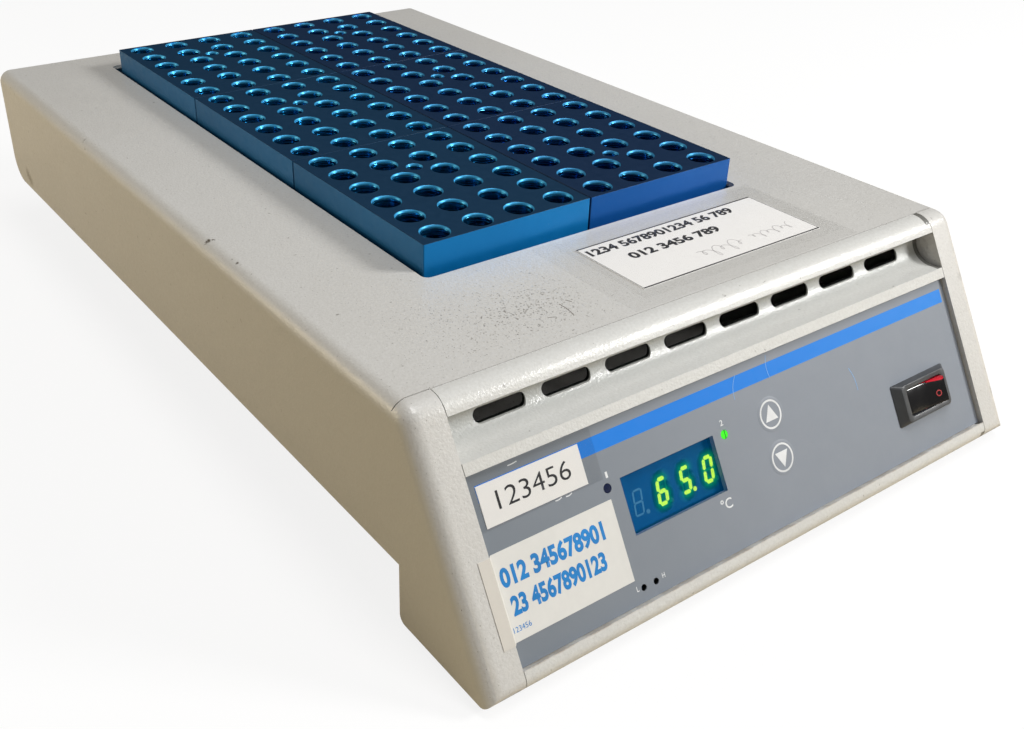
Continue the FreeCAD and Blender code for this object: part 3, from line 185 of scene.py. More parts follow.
def lights():
    """A key from the right and front, a lamp overhead and a warm fill from the left."""
    lamp("key", (1.15, -1.0, 0.95), (0, 0, 0.05), 0.42, 0.42, 25, (1, 0.995, 0.98))
    lamp("overhead", (0.1, -0.35, 1.7), (0, 0, 0.05), 0.5, 0.9, 13.5, (1, 1, 1))
    lamp("left_fill", (-1.2, 0.8, 0.4), (0, 0, 0.05), 0.8, 0.6, 6.6, (1, 0.86, 0.62))


def add_node(tree, kind, **values):
    """A shader node with its input values set by socket name."""
    item = tree.nodes.new(kind)
    for name, value in values.items():
        item.inputs[name.replace("_", " ")].default_value = value
    return item


def seen_apart(tree, lighting, seen):
    """A shader that shows the camera one thing and every other ray another."""
    path = tree.nodes.new("ShaderNodeLightPath")
    mix = tree.nodes.new("ShaderNodeMixShader")
    tree.links.new(path.outputs["Is Camera Ray"], mix.inputs[0])
    tree.links.new(lighting.outputs[0], mix.inputs[1])
    tree.links.new(seen.outputs[0], mix.inputs[2])
    return mix


def empty_tree(owner, output):
    """The cleared node tree of a world or a material, and its output."""
    owner.use_nodes = True
    tree = owner.node_tree
    tree.nodes.clear()
    return tree, tree.nodes.new(output)


WORLD_LEVEL = 0.2


def world():
    """A surrounding that shows white and lights softly."""
    scene = bpy.context.scene
    scene.world = bpy.data.worlds.new("studio")
    tree, out = empty_tree(scene.world, "ShaderNodeOutputWorld")
    seen = add_node(tree, "ShaderNodeBackground", Color=(1, 1, 1, 1), Strength=1.0)
    soft = add_node(tree, "ShaderNodeBackground", Color=(1, 1, 1, 1), Strength=WORLD_LEVEL)
    tree.links.new(seen_apart(tree, soft, seen).outputs[0], out.inputs[0])
    scene.view_settings.view_transform = "Standard"


def flat_stage(name, corners, material):
    """A flat stage piece through four corners."""
    mesh = bpy.data.meshes.new(name)
    mesh.from_pydata(corners, [], [(0, 1, 2, 3)])
    mesh.materials.append(material)
    item = add_object(name, mesh)
    item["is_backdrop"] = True
    return item


FLOOR_SIZE = 8
FLOOR_SHOWN_WHITE = 0.84


def floor():
    """A plain white floor that keeps a faint shadow and throws a warm light up."""
    stuff = bpy.data.materials.new("floor_white")
    tree, out = empty_tree(stuff, "ShaderNodeOutputMaterial")
    matt = add_node(tree, "ShaderNodeBsdfDiffuse", Color=(0.9, 0.9, 0.9, 1))
    glow = add_node(tree, "ShaderNodeEmission", Color=(1, 1, 1, 1), Strength=1.0)
    warm = add_node(tree, "ShaderNodeBsdfDiffuse", Color=(0.62, 0.53, 0.38, 1))
    white = tree.nodes.new("ShaderNodeMixShader")
    white.inputs[0].default_value = FLOOR_SHOWN_WHITE
    tree.links.new(matt.outputs[0], white.inputs[1])
    tree.links.new(glow.outputs[0], white.inputs[2])
    tree.links.new(seen_apart(tree, warm, white).outputs[0], out.inputs[0])
    half = FLOOR_SIZE / 2
    flat_stage("floor", [(-half, -half, 0), (half, -half, 0), (half, half, 0), (-half, half, 0)], stuff)


def dark_card():
    """A black card behind the object, seen only in what the object mirrors."""
    stuff = bpy.data.materials.new("card_black")
    stuff.use_nodes = True
    shader = stuff.node_tree.nodes["Principled BSDF"]
    shader.inputs["Base Color"].default_value = (0.012, 0.012, 0.014, 1)
    shader.inputs["Roughness"].default_value = 1.0
    shader.inputs["Specular IOR Level"].default_value = 0.0
    (left, back), (right, front), top = (-0.5, 1.5), (1.9, 0.1), 1.3
    corners = [(left, back, 0), (right, front, 0), (right, front, top), (left, back, top)]
    item = flat_stage("dark_card", corners, stuff)
    item.visible_camera = False
    item.visible_diffuse = False
    item.visible_shadow = False
    item.visible_transmission = False


# Materials


def shown(red, green, blue):
    """A linear colour from the 0 to 255 values that a screen shows."""

    def linear(value):
        part = value / 255
        return part / 12.92 if part <= 0.04045 else ((part + 0.055) / 1.055) ** 2.4

    return (linear(red), linear(green), linear(blue), 1)


class Stuff:
    """A material with a Principled shader and the nodes that feed it."""

    def __init__(self, name, colour, roughness, metallic=0.0, **sockets):
        self.material = bpy.data.materials.new(name)
        self.material.use_nodes = True
        self.tree = self.material.node_tree
        self.shader = self.tree.nodes["Principled BSDF"]
        self.shader.inputs["Base Color"].default_value = colour
        self.shader.inputs["Roughness"].default_value = roughness
        self.shader.inputs["Metallic"].default_value = metallic
        for socket, value in sockets.items():
            self.shader.inputs[socket.replace("_", " ")].default_value = value
        self.place = self.tree.nodes.new("ShaderNodeTexCoord").outputs["Object"]
        self.colour = None
        self.bump = None

    def noise(self, scale, detail=4.0, stretch=(1, 1, 1)):
        """A noise value from 0 to 1, finer for a larger scale."""
        mapping = add_node(self.tree, "ShaderNodeMapping", Scale=stretch)
        self.tree.links.new(self.place, mapping.inputs["Vector"])
        item = add_node(self.tree, "ShaderNodeTexNoise", Scale=scale, Detail=detail, Roughness=0.55)
        self.tree.links.new(mapping.outputs[0], item.inputs["Vector"])
        return item.outputs["Fac"]

    def between(self, value, low, high, to_low=0.0, to_high=1.0):
        """The value spread from one range to another, and held inside it."""
        item = self.tree.nodes.new("ShaderNodeMapRange")
        item.inputs["From Min"].default_value = low
        item.inputs["From Max"].default_value = high
        item.inputs["To Min"].default_value = to_low
        item.inputs["To Max"].default_value = to_high
        self.tree.links.new(value, item.inputs["Value"])
        return item.outputs["Result"]

    def maths(self, kind, first, second=None):
        """Arithmetic on two values, either of which may be a plain number."""
        item = self.tree.nodes.new("ShaderNodeMath")
        item.operation = kind
        for socket, value in zip(item.inputs, (first, second)):
            if value is None:
                continue
            if isinstance(value, (int, float)):
                socket.default_value = value
            else:
                self.tree.links.new(value, socket)
        return item.outputs[0]

    def both(self, first, second):
        """The part where two masks meet."""
        return self.maths("MULTIPLY", first, second)

    def along(self, direction, start):
        """How far a point lies from a place in a direction, in millimetres."""
        item = self.tree.nodes.new("ShaderNodeVectorMath")
        item.operation = "DOT_PRODUCT"
        item.inputs[1].default_value = direction / MM
        self.tree.links.new(self.place, item.inputs[0])
        return self.maths("SUBTRACT", item.outputs["Value"], direction.dot(start) / MM)

    def axis(self, letter, start=0.0):
        """How far a point lies past a start along X, Y or Z, in millimetres."""
        direction = Vector([float(name == letter) for name in "XYZ"])
        return self.along(direction, direction * start * MM)

    def near(self, centre, radius, soft, ragged, scale=900):
        """A spot with a ragged edge round a place: 1 inside and 0 outside."""
        item = self.tree.nodes.new("ShaderNodeVectorMath")
        item.operation = "DISTANCE"
        item.inputs[1].default_value = centre
        self.tree.links.new(self.place, item.inputs[0])
        reach = self.maths("DIVIDE", item.outputs["Value"], radius * MM)
        edge = self.between(self.noise(scale, 3), 0.3, 0.7, -ragged, ragged)
        return self.between(self.maths("ADD", reach, edge), 1 - soft, 1 + soft, 1.0, 0.0)

    def inside(self, value, low, high, soft):
        """1 between two limits and 0 outside them, with soft edges."""
        rise = self.between(value, low - soft, low + soft)
        fall = self.between(value, high - soft, high + soft, 1.0, 0.0)
        return self.both(rise, fall)

    def tint(self, mask, colour, share=1.0):
        """Lay a share of a colour over what is there, as far as the mask says."""
        item = self.tree.nodes.new("ShaderNodeMix")
        item.data_type = "RGBA"
        if self.colour is None:
            item.inputs["A"].default_value = self.shader.inputs["Base Color"].default_value[:]
        else:
            self.tree.links.new(self.colour, item.inputs["A"])
        item.inputs["B"].default_value = colour
        self.tree.links.new(self.maths("MULTIPLY", mask, share), item.inputs["Factor"])
        self.colour = item.outputs["Result"]
        self.tree.links.new(self.colour, self.shader.inputs["Base Color"])

    def rough(self, value):
        """Let a value set the roughness."""
        self.tree.links.new(value, self.shader.inputs["Roughness"])

    def relief(self, value, strength, depth):
        """Add a bump from a value over the bumps that are there."""
        item = add_node(self.tree, "ShaderNodeBump", Strength=strength, Distance=depth * MM)
        self.tree.links.new(value, item.inputs["Height"])
        if self.bump is not None:
            self.tree.links.new(self.bump, item.inputs["Normal"])
        self.bump = item.outputs["Normal"]
        self.tree.links.new(self.bump, self.shader.inputs["Normal"])
        self.tree.links.new(self.bump, self.shader.inputs["Coat Normal"])


def darkened(colour, share):
    """A share of a colour."""
    return tuple(part * share for part in colour[:3]) + (1,)


def paint(name, colour, dirt):
    """Powder paint: a fine orange peel, faint clouds of tone and a few small dark specks."""
    item = Stuff(name, colour, 0.4, Coat_Weight=0.35, Coat_Roughness=0.14)
    item.tint(item.between(item.noise(9, 3), 0.35, 0.75, 0.0, 0.4), dirt)
    item.tint(item.between(item.noise(950, 2), 0.35, 0.7, 0.0, 0.16), shown(150, 146, 138))
    item.tint(item.between(item.noise(420, 2), 0.72, 0.77, 0.0, 0.6), shown(110, 106, 98))
    item.rough(item.between(item.noise(500, 3), 0.3, 0.7, 0.33, 0.5))
    item.relief(item.noise(1100, 3), 0.6, 0.22)
    return item


def plain(name, colour, roughness, grain, depth, darker=0.75, **sockets):
    """A moulded or rolled surface with a fine grain and a little change of tone."""
    item = Stuff(name, colour, roughness, **sockets)
    item.tint(item.between(item.noise(grain / 12, 3), 0.3, 0.75), darkened(colour, darker))
    item.rough(item.between(item.noise(grain / 3, 3), 0.3, 0.7, roughness * 0.85, min(1, roughness * 1.2)))
    item.relief(item.noise(grain, 4), 0.35, depth)
    return item


def inked(name, colour, roughness=0.5):
    """A thin print or mark."""
    return plain(name, colour, roughness, 1500, 0.01)


def brushed(name, colour, roughness, stretch):
    """Bare metal with lines of its rolling or milling."""
    item = Stuff(name, colour, roughness, 1.0)
    item.tint(item.between(item.noise(60, 4, stretch), 0.3, 0.75), darkened(colour, 0.7))
    item.rough(item.between(item.noise(90, 4, stretch), 0.3, 0.7, roughness * 0.8, roughness * 1.25))
    item.relief(item.noise(240, 4, stretch), 0.3, 0.04)
    return item


FRONT_BLOCK = node_box("block_front_left")
MIDDLE_BLOCK = node_box("block_middle_left")
BACK_BLOCK = node_box("block_back_left")
BLOCKS_LOW = FRONT_BLOCK[0]
BLOCKS_HIGH = node_box("block_back_right")[1]
COLUMN_SEAM = (BLOCKS_LOW.x + BLOCKS_HIGH.x) / 2
ROW_SEAMS = ((FRONT_BLOCK[1].y + MIDDLE_BLOCK[0].y) / 2, (MIDDLE_BLOCK[1].y + BACK_BLOCK[0].y) / 2)
WELLS_INSET = 2.05


def away_from_seams(item):
    """A mask of the blocks, apart from the narrow gaps between them."""
    clear = 1.0
    for letter, seam in (("X", COLUMN_SEAM), ("Y", ROW_SEAMS[0]), ("Y", ROW_SEAMS[1])):
        reach = item.maths("ABSOLUTE", item.axis(letter, seam))
        clear = item.both(clear, item.between(reach, 0.4, 0.6))
    return clear


def anodised(name, colour):
    """Satin anodised aluminium, with a painted dark slate reflection on top, painted shade on the left
    faces, in the gaps and down the wells, and painted glints round the well mouths.
    """
    item = Stuff(name, colour, 0.3, 0.45, Coat_Weight=0.08, Coat_Roughness=0.14, Specular_IOR_Level=0.3)
    item.tint(item.between(item.noise(14, 2), 0.35, 0.7, 0.0, 0.3), darkened(colour, 0.75))
    # Painted shade: the left faces of the left blocks darker.
    item.tint(item.between(item.axis("X", BLOCKS_LOW.x), 0.33, 0.03), shown(10, 66, 98), 0.6)
    clear = away_from_seams(item)
    # Painted shade: the narrow gaps between the blocks darker.
    item.tint(item.maths("SUBTRACT", 1.0, clear), shown(12, 26, 40), 0.7)
    across = item.inside(item.axis("X"), BLOCKS_LOW.x + WELLS_INSET, BLOCKS_HIGH.x - WELLS_INSET, 0.1)
    along = item.inside(item.axis("Y"), BLOCKS_LOW.y + WELLS_INSET, BLOCKS_HIGH.y - WELLS_INSET, 0.1)
    drilled = item.both(across, along)
    height = item.axis("Z", BLOCKS_HIGH.z)
    bore = item.both(drilled, item.between(height, -0.4, -1.2))
    # Painted shade: the wells darker with depth below their mouths.
    item.tint(item.both(bore, item.between(height, -1.0, -5.5, 0.15, 0.95)), shown(3, 24, 44))
    # Painted glint: a bright cyan band round the well mouths, kept off the gaps.
    mouth = item.both(drilled, item.inside(height, -1.6, -0.08, 0.06))
    item.tint(item.both(mouth, clear), shown(86, 190, 228), 0.5)
    # Painted dark reflection: the flat tops of the blocks dark slate.
    item.tint(item.between(height, -0.12, -0.04), shown(30, 42, 54), 0.86)
    item.tint(item.between(item.noise(1500, 2), 0.75, 0.8, 0.0, 0.4), shown(120, 150, 175))
    satin = item.between(item.noise(300, 3), 0.3, 0.7, 0.42, 0.52)
    item.rough(item.both(satin, item.between(bore, 0.0, 1.0, 1.0, 0.4)))
    item.tree.links.new(item.between(bore, 0.0, 1.0, 0.45, 0.92), item.shader.inputs["Metallic"])
    item.relief(item.noise(900, 2), 0.1, 0.03)
    item.relief(item.both(bore, item.noise(2600, 1, (0.03, 0.03, 1))), 0.7, 0.4)
    return item


def glowing(name, colour, strength):
    """A layer that adds light by its level and hides nothing."""
    material = bpy.data.materials.new(name)
    tree, out = empty_tree(material, "ShaderNodeOutputMaterial")
    clear = add_node(tree, "ShaderNodeBsdfTransparent", Color=(1, 1, 1, 1))
    light = add_node(tree, "ShaderNodeEmission", Color=colour)
    level = tree.nodes.new("ShaderNodeAttribute")
    level.attribute_name = "level"
    power = tree.nodes.new("ShaderNodeMath")
    power.operation = "MULTIPLY"
    power.inputs[1].default_value = strength
    total = tree.nodes.new("ShaderNodeAddShader")
    tree.links.new(level.outputs["Fac"], power.inputs[0])
    tree.links.new(power.outputs[0], light.inputs["Strength"])
    tree.links.new(clear.outputs[0], total.inputs[0])
    tree.links.new(light.outputs[0], total.inputs[1])
    tree.links.new(total.outputs[0], out.inputs[0])
    return SimpleNamespace(material=material)


# Mesh pieces


def settle(mesh):
    """Turn the faces of a mesh outward."""
    work = bmesh.new()
    work.from_mesh(mesh)
    bmesh.ops.recalc_face_normals(work, faces=work.faces)
    work.to_mesh(mesh)
    work.free()


def attach(name, mesh, stuff, slot, body):
    """An object of a mesh in one material, on a body of the frame."""
    mesh.materials.clear()
    mesh.materials.append(stuff.material)
    item = add_object(name, mesh)
    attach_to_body(item, body)
    return item


class Build:
    """Points and faces that gather into one piece."""

    def __init__(self):
        self.points = []
        self.faces = []

    def loop(self, points):
        """Add points and return their numbers."""
        start = len(self.points)
        self.points += [Vector(point) for point in points]
        return list(range(start, len(self.points)))

    def wall(self, first, second, closed=True):
        """Faces between two rows of the same length."""
        count = len(first)
        for index in range(count if closed else count - 1):
            after = (index + 1) % count
            self.faces.append((first[index], first[after], second[after], second[index]))

    def skin(self, rows, closed=True):
        """Faces between each row and the next."""
        for first, second in zip(rows, rows[1:]):
            self.wall(first, second, closed)

    def cap(self, row):
        """A face over a closed row."""
        self.faces.append(tuple(row))

    def slab(self, outline, low, high, place):
        """A flat plate from an outline of (x, y) pairs, between two heights over a surface."""
        bottom = self.loop(place(x, y, low) for x, y in outline)
        top = self.loop(place(x, y, high) for x, y in outline)
        self.wall(bottom, top)
        self.cap(top)
        self.cap(bottom)

    def stroke(self, line, width, low, high, place, closed=False):
        """A thin drawn line of a width, laid on a surface."""
        count = len(line)
        sides = []
        for index in range(count):
            before = line[index - 1] if index or closed else line[index]
            after = line[(index + 1) % count] if index < count - 1 or closed else line[index]
            run = Vector((after[0] - before[0], after[1] - before[1])).normalized()
            across = Vector((-run.y, run.x)) * width / 2
            here = Vector(line[index])
            sides.append((here - across, here + across))
        rows = [self.loop([place(a.x, a.y, low), place(b.x, b.y, low), place(b.x, b.y, high),
                           place(a.x, a.y, high)]) for a, b in sides]
        for index in range(count if closed else count - 1):
            self.wall(rows[index], rows[(index + 1) % count])
        if not closed:
            self.cap(rows[0])
            self.cap(rows[-1])

    def finish(self, name, stuff, slot, body=STILL, bend=30):
        """Make the piece, smooth except over bends sharper than an angle."""
        mesh = bpy.data.meshes.new(name)
        mesh.from_pydata([tuple(point) for point in self.points], [], self.faces)
        settle(mesh)
        mesh.polygons.foreach_set("use_smooth", [True] * len(mesh.polygons))
        mesh.set_sharp_from_angle(angle=math.radians(bend))
        return attach(name, mesh, stuff, slot, body)


def arc(x, y, radius, start=0.0, end=360.0, steps=48):
    """Points along an arc, in degrees."""
    turns = [math.radians(start + (end - start) * index / steps) for index in range(steps)]
    return [(x + radius * math.cos(turn), y + radius * math.sin(turn)) for turn in turns]


def rounded(width, depth, radius, steps=5):
    """The outline of a rectangle with round corners about the origin."""
    outline = []
    for index, (side_x, side_y) in enumerate(((1, 1), (-1, 1), (-1, -1), (1, -1))):
        x = side_x * (width / 2 - radius)
        y = side_y * (depth / 2 - radius)
        outline += arc(x, y, radius, 90 * index, 90 * (index + 1) + 90 / steps, steps + 1)
    return outline


def lettering(name, words, centre, width, tall, place, stuff, slot, weight, turn=1):
    """Flat characters that fill a width and a height about a place on a surface."""
    curve = bpy.data.curves.new(name, "FONT")
    curve.body = words
    curve.offset = weight
    curve.resolution_u = 4
    maker = add_object(name, curve)
    bpy.context.view_layer.update()
    mesh = bpy.data.meshes.new_from_object(maker.evaluated_get(bpy.context.evaluated_depsgraph_get()))
    bpy.data.objects.remove(maker)
    low = Vector((min(v.co.x for v in mesh.vertices), min(v.co.y for v in mesh.vertices)))
    high = Vector((max(v.co.x for v in mesh.vertices), max(v.co.y for v in mesh.vertices)))
    for vertex in mesh.vertices:
        x = ((vertex.co.x - low.x) / (high.x - low.x) - 0.5) * width
        y = ((vertex.co.y - low.y) / (high.y - low.y) - 0.5) * tall
        vertex.co = place(centre[0] + x, centre[1] - turn * y, INK)
    mesh.name = name
    attach(name, mesh, stuff, slot, STILL)


# Sample blocks

WELL_STEPS = 40
WELL_PITCH = (18.8, 16.0)
WELL_COUNT = (4, 6)
# Each pair is a radius of the well and its depth below the top
WELL_MOUTH = (
    (6.0, 0.0), (5.8, 0.08), (5.58, 0.3), (5.45, 0.7), (5.4, 1.3), (5.4, 43.0), (5.0, 43.7), (2.0, 44.0))
PROBE_MOUTH = ((3.6, 0.0), (3.45, 0.06), (3.28, 0.25), (3.18, 0.6), (3.14, 1.0), (3.14, 37.4), (1.2, 38.0))
PROBE_RISE = 16.0
# Each pair is how far the block's outline stands in, and its depth below the top
EDGE_BREAK = ((0.14, 0.0), (0.05, 0.02), (0.02, 0.05), (0.0, 0.14))
BLOCK_CORNER = 0.5


def wells(turned):
    """The middle and the section of each well of a block, from the block's middle."""
    columns, rows = WELL_COUNT
    middles = [((column - (columns - 1) / 2) * WELL_PITCH[0], (row - (rows - 1) / 2) * WELL_PITCH[1])
               for column in range(columns) for row in range(rows)]
    probe = (0, -PROBE_RISE if turned else PROBE_RISE)
    return [(*middle, WELL_MOUTH) for middle in middles] + [(*probe, PROBE_MOUTH)]


def ring_edges(ring):
    """The edges of a closed row of points."""
    return [(ring[index - 1], ring[index]) for index in range(len(ring))]


def fill_flat(build, edges, wanted):
    """Flat faces between closed edges, wherever their middle is wanted."""
    used = sorted({number for edge in edges for number in edge})
    new = {number: index for index, number in enumerate(used)}
    flat = [build.points[number].xy / MM for number in used]
    result = delaunay_2d_cdt(flat, [(new[a], new[b]) for a, b in edges], [], 1, 1e-6)
    corners, faces, origins = result[0], result[2], result[3]
    for face in faces:
        if wanted(sum((corners[corner] for corner in face), Vector((0, 0))) / 3):
            build.faces.append(tuple(used[origins[corner][0]] for corner in face))


def sample_block(name, turned, stuff):
    """A drilled block: 24 tube wells and a thermometer well, with broken edges and a flat top."""
    low, high = node_box(name)
    centre = (low + high) / 2
    size = high - low
    build = Build()

    def place(x, y, down):
        return Vector(((centre.x + x) * MM, (centre.y + y) * MM, (high.z - down) * MM))

    def outer(inset, down):
        outline = rounded(size.x - 2 * inset, size.y - 2 * inset, BLOCK_CORNER - inset * 0.6)
        return build.loop(place(x, y, down) for x, y in outline)

    rings = [outer(inset, down) for inset, down in EDGE_BREAK]
    rings.append(outer(0, size.z))
    for upper, lower in zip(rings, rings[1:]):
        build.wall(lower, upper)
    build.cap(rings[-1])
    edges = ring_edges(rings[0])
    holes = wells(turned)
    for x, y, mouth in holes:
        circles = [build.loop(place(*spot, down) for spot in arc(x, y, radius, steps=WELL_STEPS))
                   for radius, down in mouth]
        build.skin(circles)
        build.cap(circles[-1])
        edges += ring_edges(circles[0])

    def solid(middle):
        spot = middle - centre.xy
        return all((spot - Vector((x, y))).length > mouth[0][0] * 0.97 for x, y, mouth in holes)

    fill_flat(build, edges, solid)
    item = build.finish(f"{name}_drilled", stuff, "blue_block", bend=50)
    for face in item.data.polygons:
        if face.normal.z > 0.999:
            face.use_smooth = False
    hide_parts(name)


# Numeric display

DIGIT_COUNT = 4
DIGIT_WIDE = 4.7
DIGIT_TALL = 9.3
DIGIT_STROKE = 1.3
DIGIT_SLANT = math.tan(math.radians(8.5))
DISPLAY_CENTRE = (-38.9, 30.45)
DISPLAY_PLATE = (41.2, 18.6)
DISPLAY_PLATE_CENTRE = (-40.7, 29.4)
DIGIT_PITCH = 10.65
MODULE_FRONT = -5.1
DIGIT_BACK = -5.04
DIGIT_FRONT = -4.98
GLOW_HEIGHT = -4.94
LIT = {1: "acdefg", 2: "acdfg", 3: "abcdef"}
# Each segment runs between two corners of the digit, given as column and row from the lower left
SEGMENTS = {
    "a": ((0, 2), (1, 2)), "b": ((1, 2), (1, 1)), "c": ((1, 1), (1, 0)), "d": ((0, 0), (1, 0)),
    "e": ((0, 1), (0, 0)), "f": ((0, 2), (0, 1)), "g": ((0, 1), (1, 1))}
DOT_AFTER = 2
DOT_RADIUS = 0.78
DOT_ASIDE = Vector((1.75, 0.1))
HALO_STEPS = 16
DIGIT_HALO = 3.3


def bar(start, end, half):
    """The six-cornered outline of a segment between two points."""
    run = (end - start).normalized()
    across = Vector((-run.y, run.x)) * half
    first = start + run * half
    last = end - run * half
    return [start + run * half * 0.3, first - across, last - across, end - run * half * 0.3,
            last + across, first + across]


def halo(build, levels, centre, radius, height):
    """A disc whose level falls from its middle to its rim."""
    middle = build.loop([on_face(centre.x, centre.y, height)])[0]
    levels.append(1.0)
    rings = []
    for share in (0.33, 0.66, 1.0):
        rings.append(build.loop(on_face(*spot, height)
                                for spot in arc(centre.x, centre.y, radius * share, steps=HALO_STEPS)))
        levels.extend([(1 - share) ** 2] * HALO_STEPS)
    for index in range(HALO_STEPS):
        build.faces.append((middle, rings[0][index], rings[0][(index + 1) % HALO_STEPS]))
    for inner, outer in zip(rings, rings[1:]):
        build.wall(outer, inner)


def shine(name, build, levels, stuff, slot):
    """Make a glowing layer with its levels."""
    item = build.finish(name, stuff, slot)
    layer = item.data.attributes.new("level", "FLOAT", "POINT")
    layer.data.foreach_set("value", levels)


def display_tone(item):
    """The greener right part of the display."""
    item.tint(item.between(item.axis("X"), -46, -21), shown(0, 104, 134), 0.7)


def digits(lit_stuff, dim_stuff, plate_stuff, glow_stuff):
    """Four seven-segment digits with a point, and the soft glow round those that are lit."""
    plate = Build()
    x, y = DISPLAY_PLATE_CENTRE
    plate.slab([(x + a, y + b) for a, b in rounded(*DISPLAY_PLATE, 0.3)], MODULE_FRONT, DIGIT_BACK, on_face)
    plate.finish("display_plate", plate_stuff, "display_black")
    lit, dim, glow = Build(), Build(), Build()
    levels = []
    step_x = DIGIT_WIDE - DIGIT_STROKE
    step_y = (DIGIT_TALL - DIGIT_STROKE) / 2
    for number in range(DIGIT_COUNT):
        middle = DISPLAY_CENTRE[0] + (number - (DIGIT_COUNT - 1) / 2) * DIGIT_PITCH

        def spot(column, row):
            rise = (row - 1) * step_y
            return Vector((middle + (column - 0.5) * step_x + rise * DIGIT_SLANT, DISPLAY_CENTRE[1] - rise))

        for letter, (start, end) in SEGMENTS.items():
            on = letter in LIT.get(number, "")
            half = DIGIT_STROKE / 2 if on else DIGIT_STROKE / 4
            target = lit if on else dim
            target.slab(bar(spot(*start), spot(*end), half), DIGIT_BACK, DIGIT_FRONT, on_face)
            if on:
                for share in (0.15, 0.5, 0.85):
                    halo(glow, levels, spot(*start).lerp(spot(*end), share), DIGIT_HALO, GLOW_HEIGHT)
        point = spot(1, 0) + DOT_ASIDE
        target = lit if number == DOT_AFTER else dim
        target.slab(arc(*point, DOT_RADIUS, steps=16), DIGIT_BACK, DIGIT_FRONT, on_face)
    lit.finish("digits_lit", lit_stuff, "display_black")
    dim.finish("digits_unlit", dim_stuff, "display_black")
    shine("digits_glow", glow, levels, glow_stuff, "display_black")


# Keys and lamps

KEY_X = 8.3
KEYS = (("up", "upper_key", 21.4, -1), ("down", "lower_key", 37.2, 1))
KEY_TOP = 0.1
RING_RADIUS = 4.85
RING_LINE = 0.68
ARROW_TIP = 3.5
ARROW_BASE = (3.1, 2.2)
FILM_COLLAR = (5.2, 6.3)
SETPOINT_LAMP = (-14.6, 21.1)
LAMP_HALO = 3.0


def key_prints(ink, film):
    """A ring and a triangle on each key, and the film that bridges the gap round it."""
    for name, body, y, turn in KEYS:
        mark = Build()
        mark.stroke(arc(KEY_X, y, RING_RADIUS), RING_LINE, KEY_TOP, KEY_TOP + INK, on_film, closed=True)
        half, back = ARROW_BASE
        corners = ((0, ARROW_TIP), (-half, -back), (half, -back))
        mark.slab([(KEY_X + x, y + turn * run) for x, run in corners], KEY_TOP, KEY_TOP + INK, on_film)
        mark.finish(f"{name}_key_print", ink, "key_film", body)
        collar = Build()
        inner, outer = FILM_COLLAR
        rings = [collar.loop(on_film(*spot, height) for spot in arc(KEY_X, y, radius))
                 for radius, height in ((inner, 0), (inner, KEY_TOP), (outer - 0.5, KEY_TOP), (outer, 0))]
        collar.skin(rings)
        collar.wall(rings[-1], rings[0])
        collar.finish(f"{name}_key_collar", film, "overlay_film")


def lamp_parts(lit_stuff, glow_stuff):
    """The glow round the lit lamp and the dark die in its middle."""
    glow = Build()
    levels = []
    halo(glow, levels, Vector(SETPOINT_LAMP), LAMP_HALO, FILM_TOP + 0.05)
    shine("setpoint_glow", glow, levels, glow_stuff, "lamp_green")
    die = lit_stuff.inside(lit_stuff.axis("X", SETPOINT_LAMP[0]), 0.05, 0.55, 0.15)
    rim = lit_stuff.near(on_film(*SETPOINT_LAMP, 0), 1.55, 0.2, 0.0)
    level = lit_stuff.both(rim, lit_stuff.between(die, 0.0, 1.0, 0.8, 0.12))
    lit_stuff.tree.links.new(level, lit_stuff.shader.inputs["Emission Strength"])
    lit_stuff.tint(die, shown(4, 50, 8))


# Power switch

SWITCH = (86.6, 39.4)
# Each ring is its width and height, its corner radius and its rise over the film
BEZEL_RINGS = (
    ((27.4, 12.8), 0.4, -18.0), ((27.4, 12.8), 0.4, 0.0), ((31.8, 16.4), 0.9, 0.0),
    ((31.8, 16.4), 0.9, 0.3), ((26.7, 14.5), 1.8, 2.62), ((26.3, 14.2), 1.7, 2.82),
    ((25.8, 13.9), 1.6, 2.9), ((22.2, 11.3), 1.3, 2.9), ((21.7, 10.8), 1.1, 2.8),
    ((21.4, 10.5), 1.0, 2.5), ((21.3, 10.4), 0.9, -6.8))
TILT = math.radians(11)
ROCKER_RISE = 2.8
ROCKER_REACH = 10.3
ROCKER_HALF = 4.86
ROCKER_CAP = 1.1
ROCKER_END = 1.6
CROWN_SLOPE = 0.62 * math.tan(TILT)
CROWN_SOFT = 1.2
CROWN_DIP = 0.35
# Each pair is how far the edge stands in from the flank, and its drop below the top
CAP_EDGE = ((0.0, 0.35), (0.12, 0.1), (0.4, 0.0))
CAP_HOLLOW = 0.08
CORE_SHOWN = 1.5
PIVOT = -0.2
RING_MARK = (5.9, 0.9, 1.05)
RING_MARK_LINE = 0.42


def switch_housing(stuff):
    """The bezel with slopes on all sides, round corners and a soft mouth, over its trunk."""
    build = Build()
    rings = []
    for (width, tall), corner, height in BEZEL_RINGS:
        outline = rounded(width, tall, corner)
        rings.append(build.loop(on_film(SWITCH[0] + x, SWITCH[1] + y, height) for x, y in outline))
    build.skin(rings)
    build.cap(rings[0])
    build.cap(rings[-1])
    item = build.finish("switch_bezel", stuff, "black_plastic", bend=24)
    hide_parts("switch_housing")


def on_rocker(run, across, rise):
    """A place on the rocker, from its pivot, when its left end is down; its ends are round."""
    limit = math.sqrt(ROCKER_REACH ** 2 - rise ** 2)
    run = max(-limit, min(limit, run))
    x = SWITCH[0] + run * math.cos(TILT) - rise * math.sin(TILT)
    out = PIVOT + run * math.sin(TILT) + rise * math.cos(TILT)
    return on_film(x, SWITCH[1] + across, out)


def crown(run):
    """Height of the rocker's top over its pivot: two slopes that meet in a soft hollow."""
    return ROCKER_RISE + CROWN_SLOPE * (math.sqrt(run * run + CROWN_SOFT) - CROWN_DIP)


def cut_back(run):
    """How far the red core shows beside the cap towards the raised end."""
    share = max(0.0, run / ROCKER_REACH)
    return CORE_SHOWN * share ** 0.9 * (1 - share ** 16)


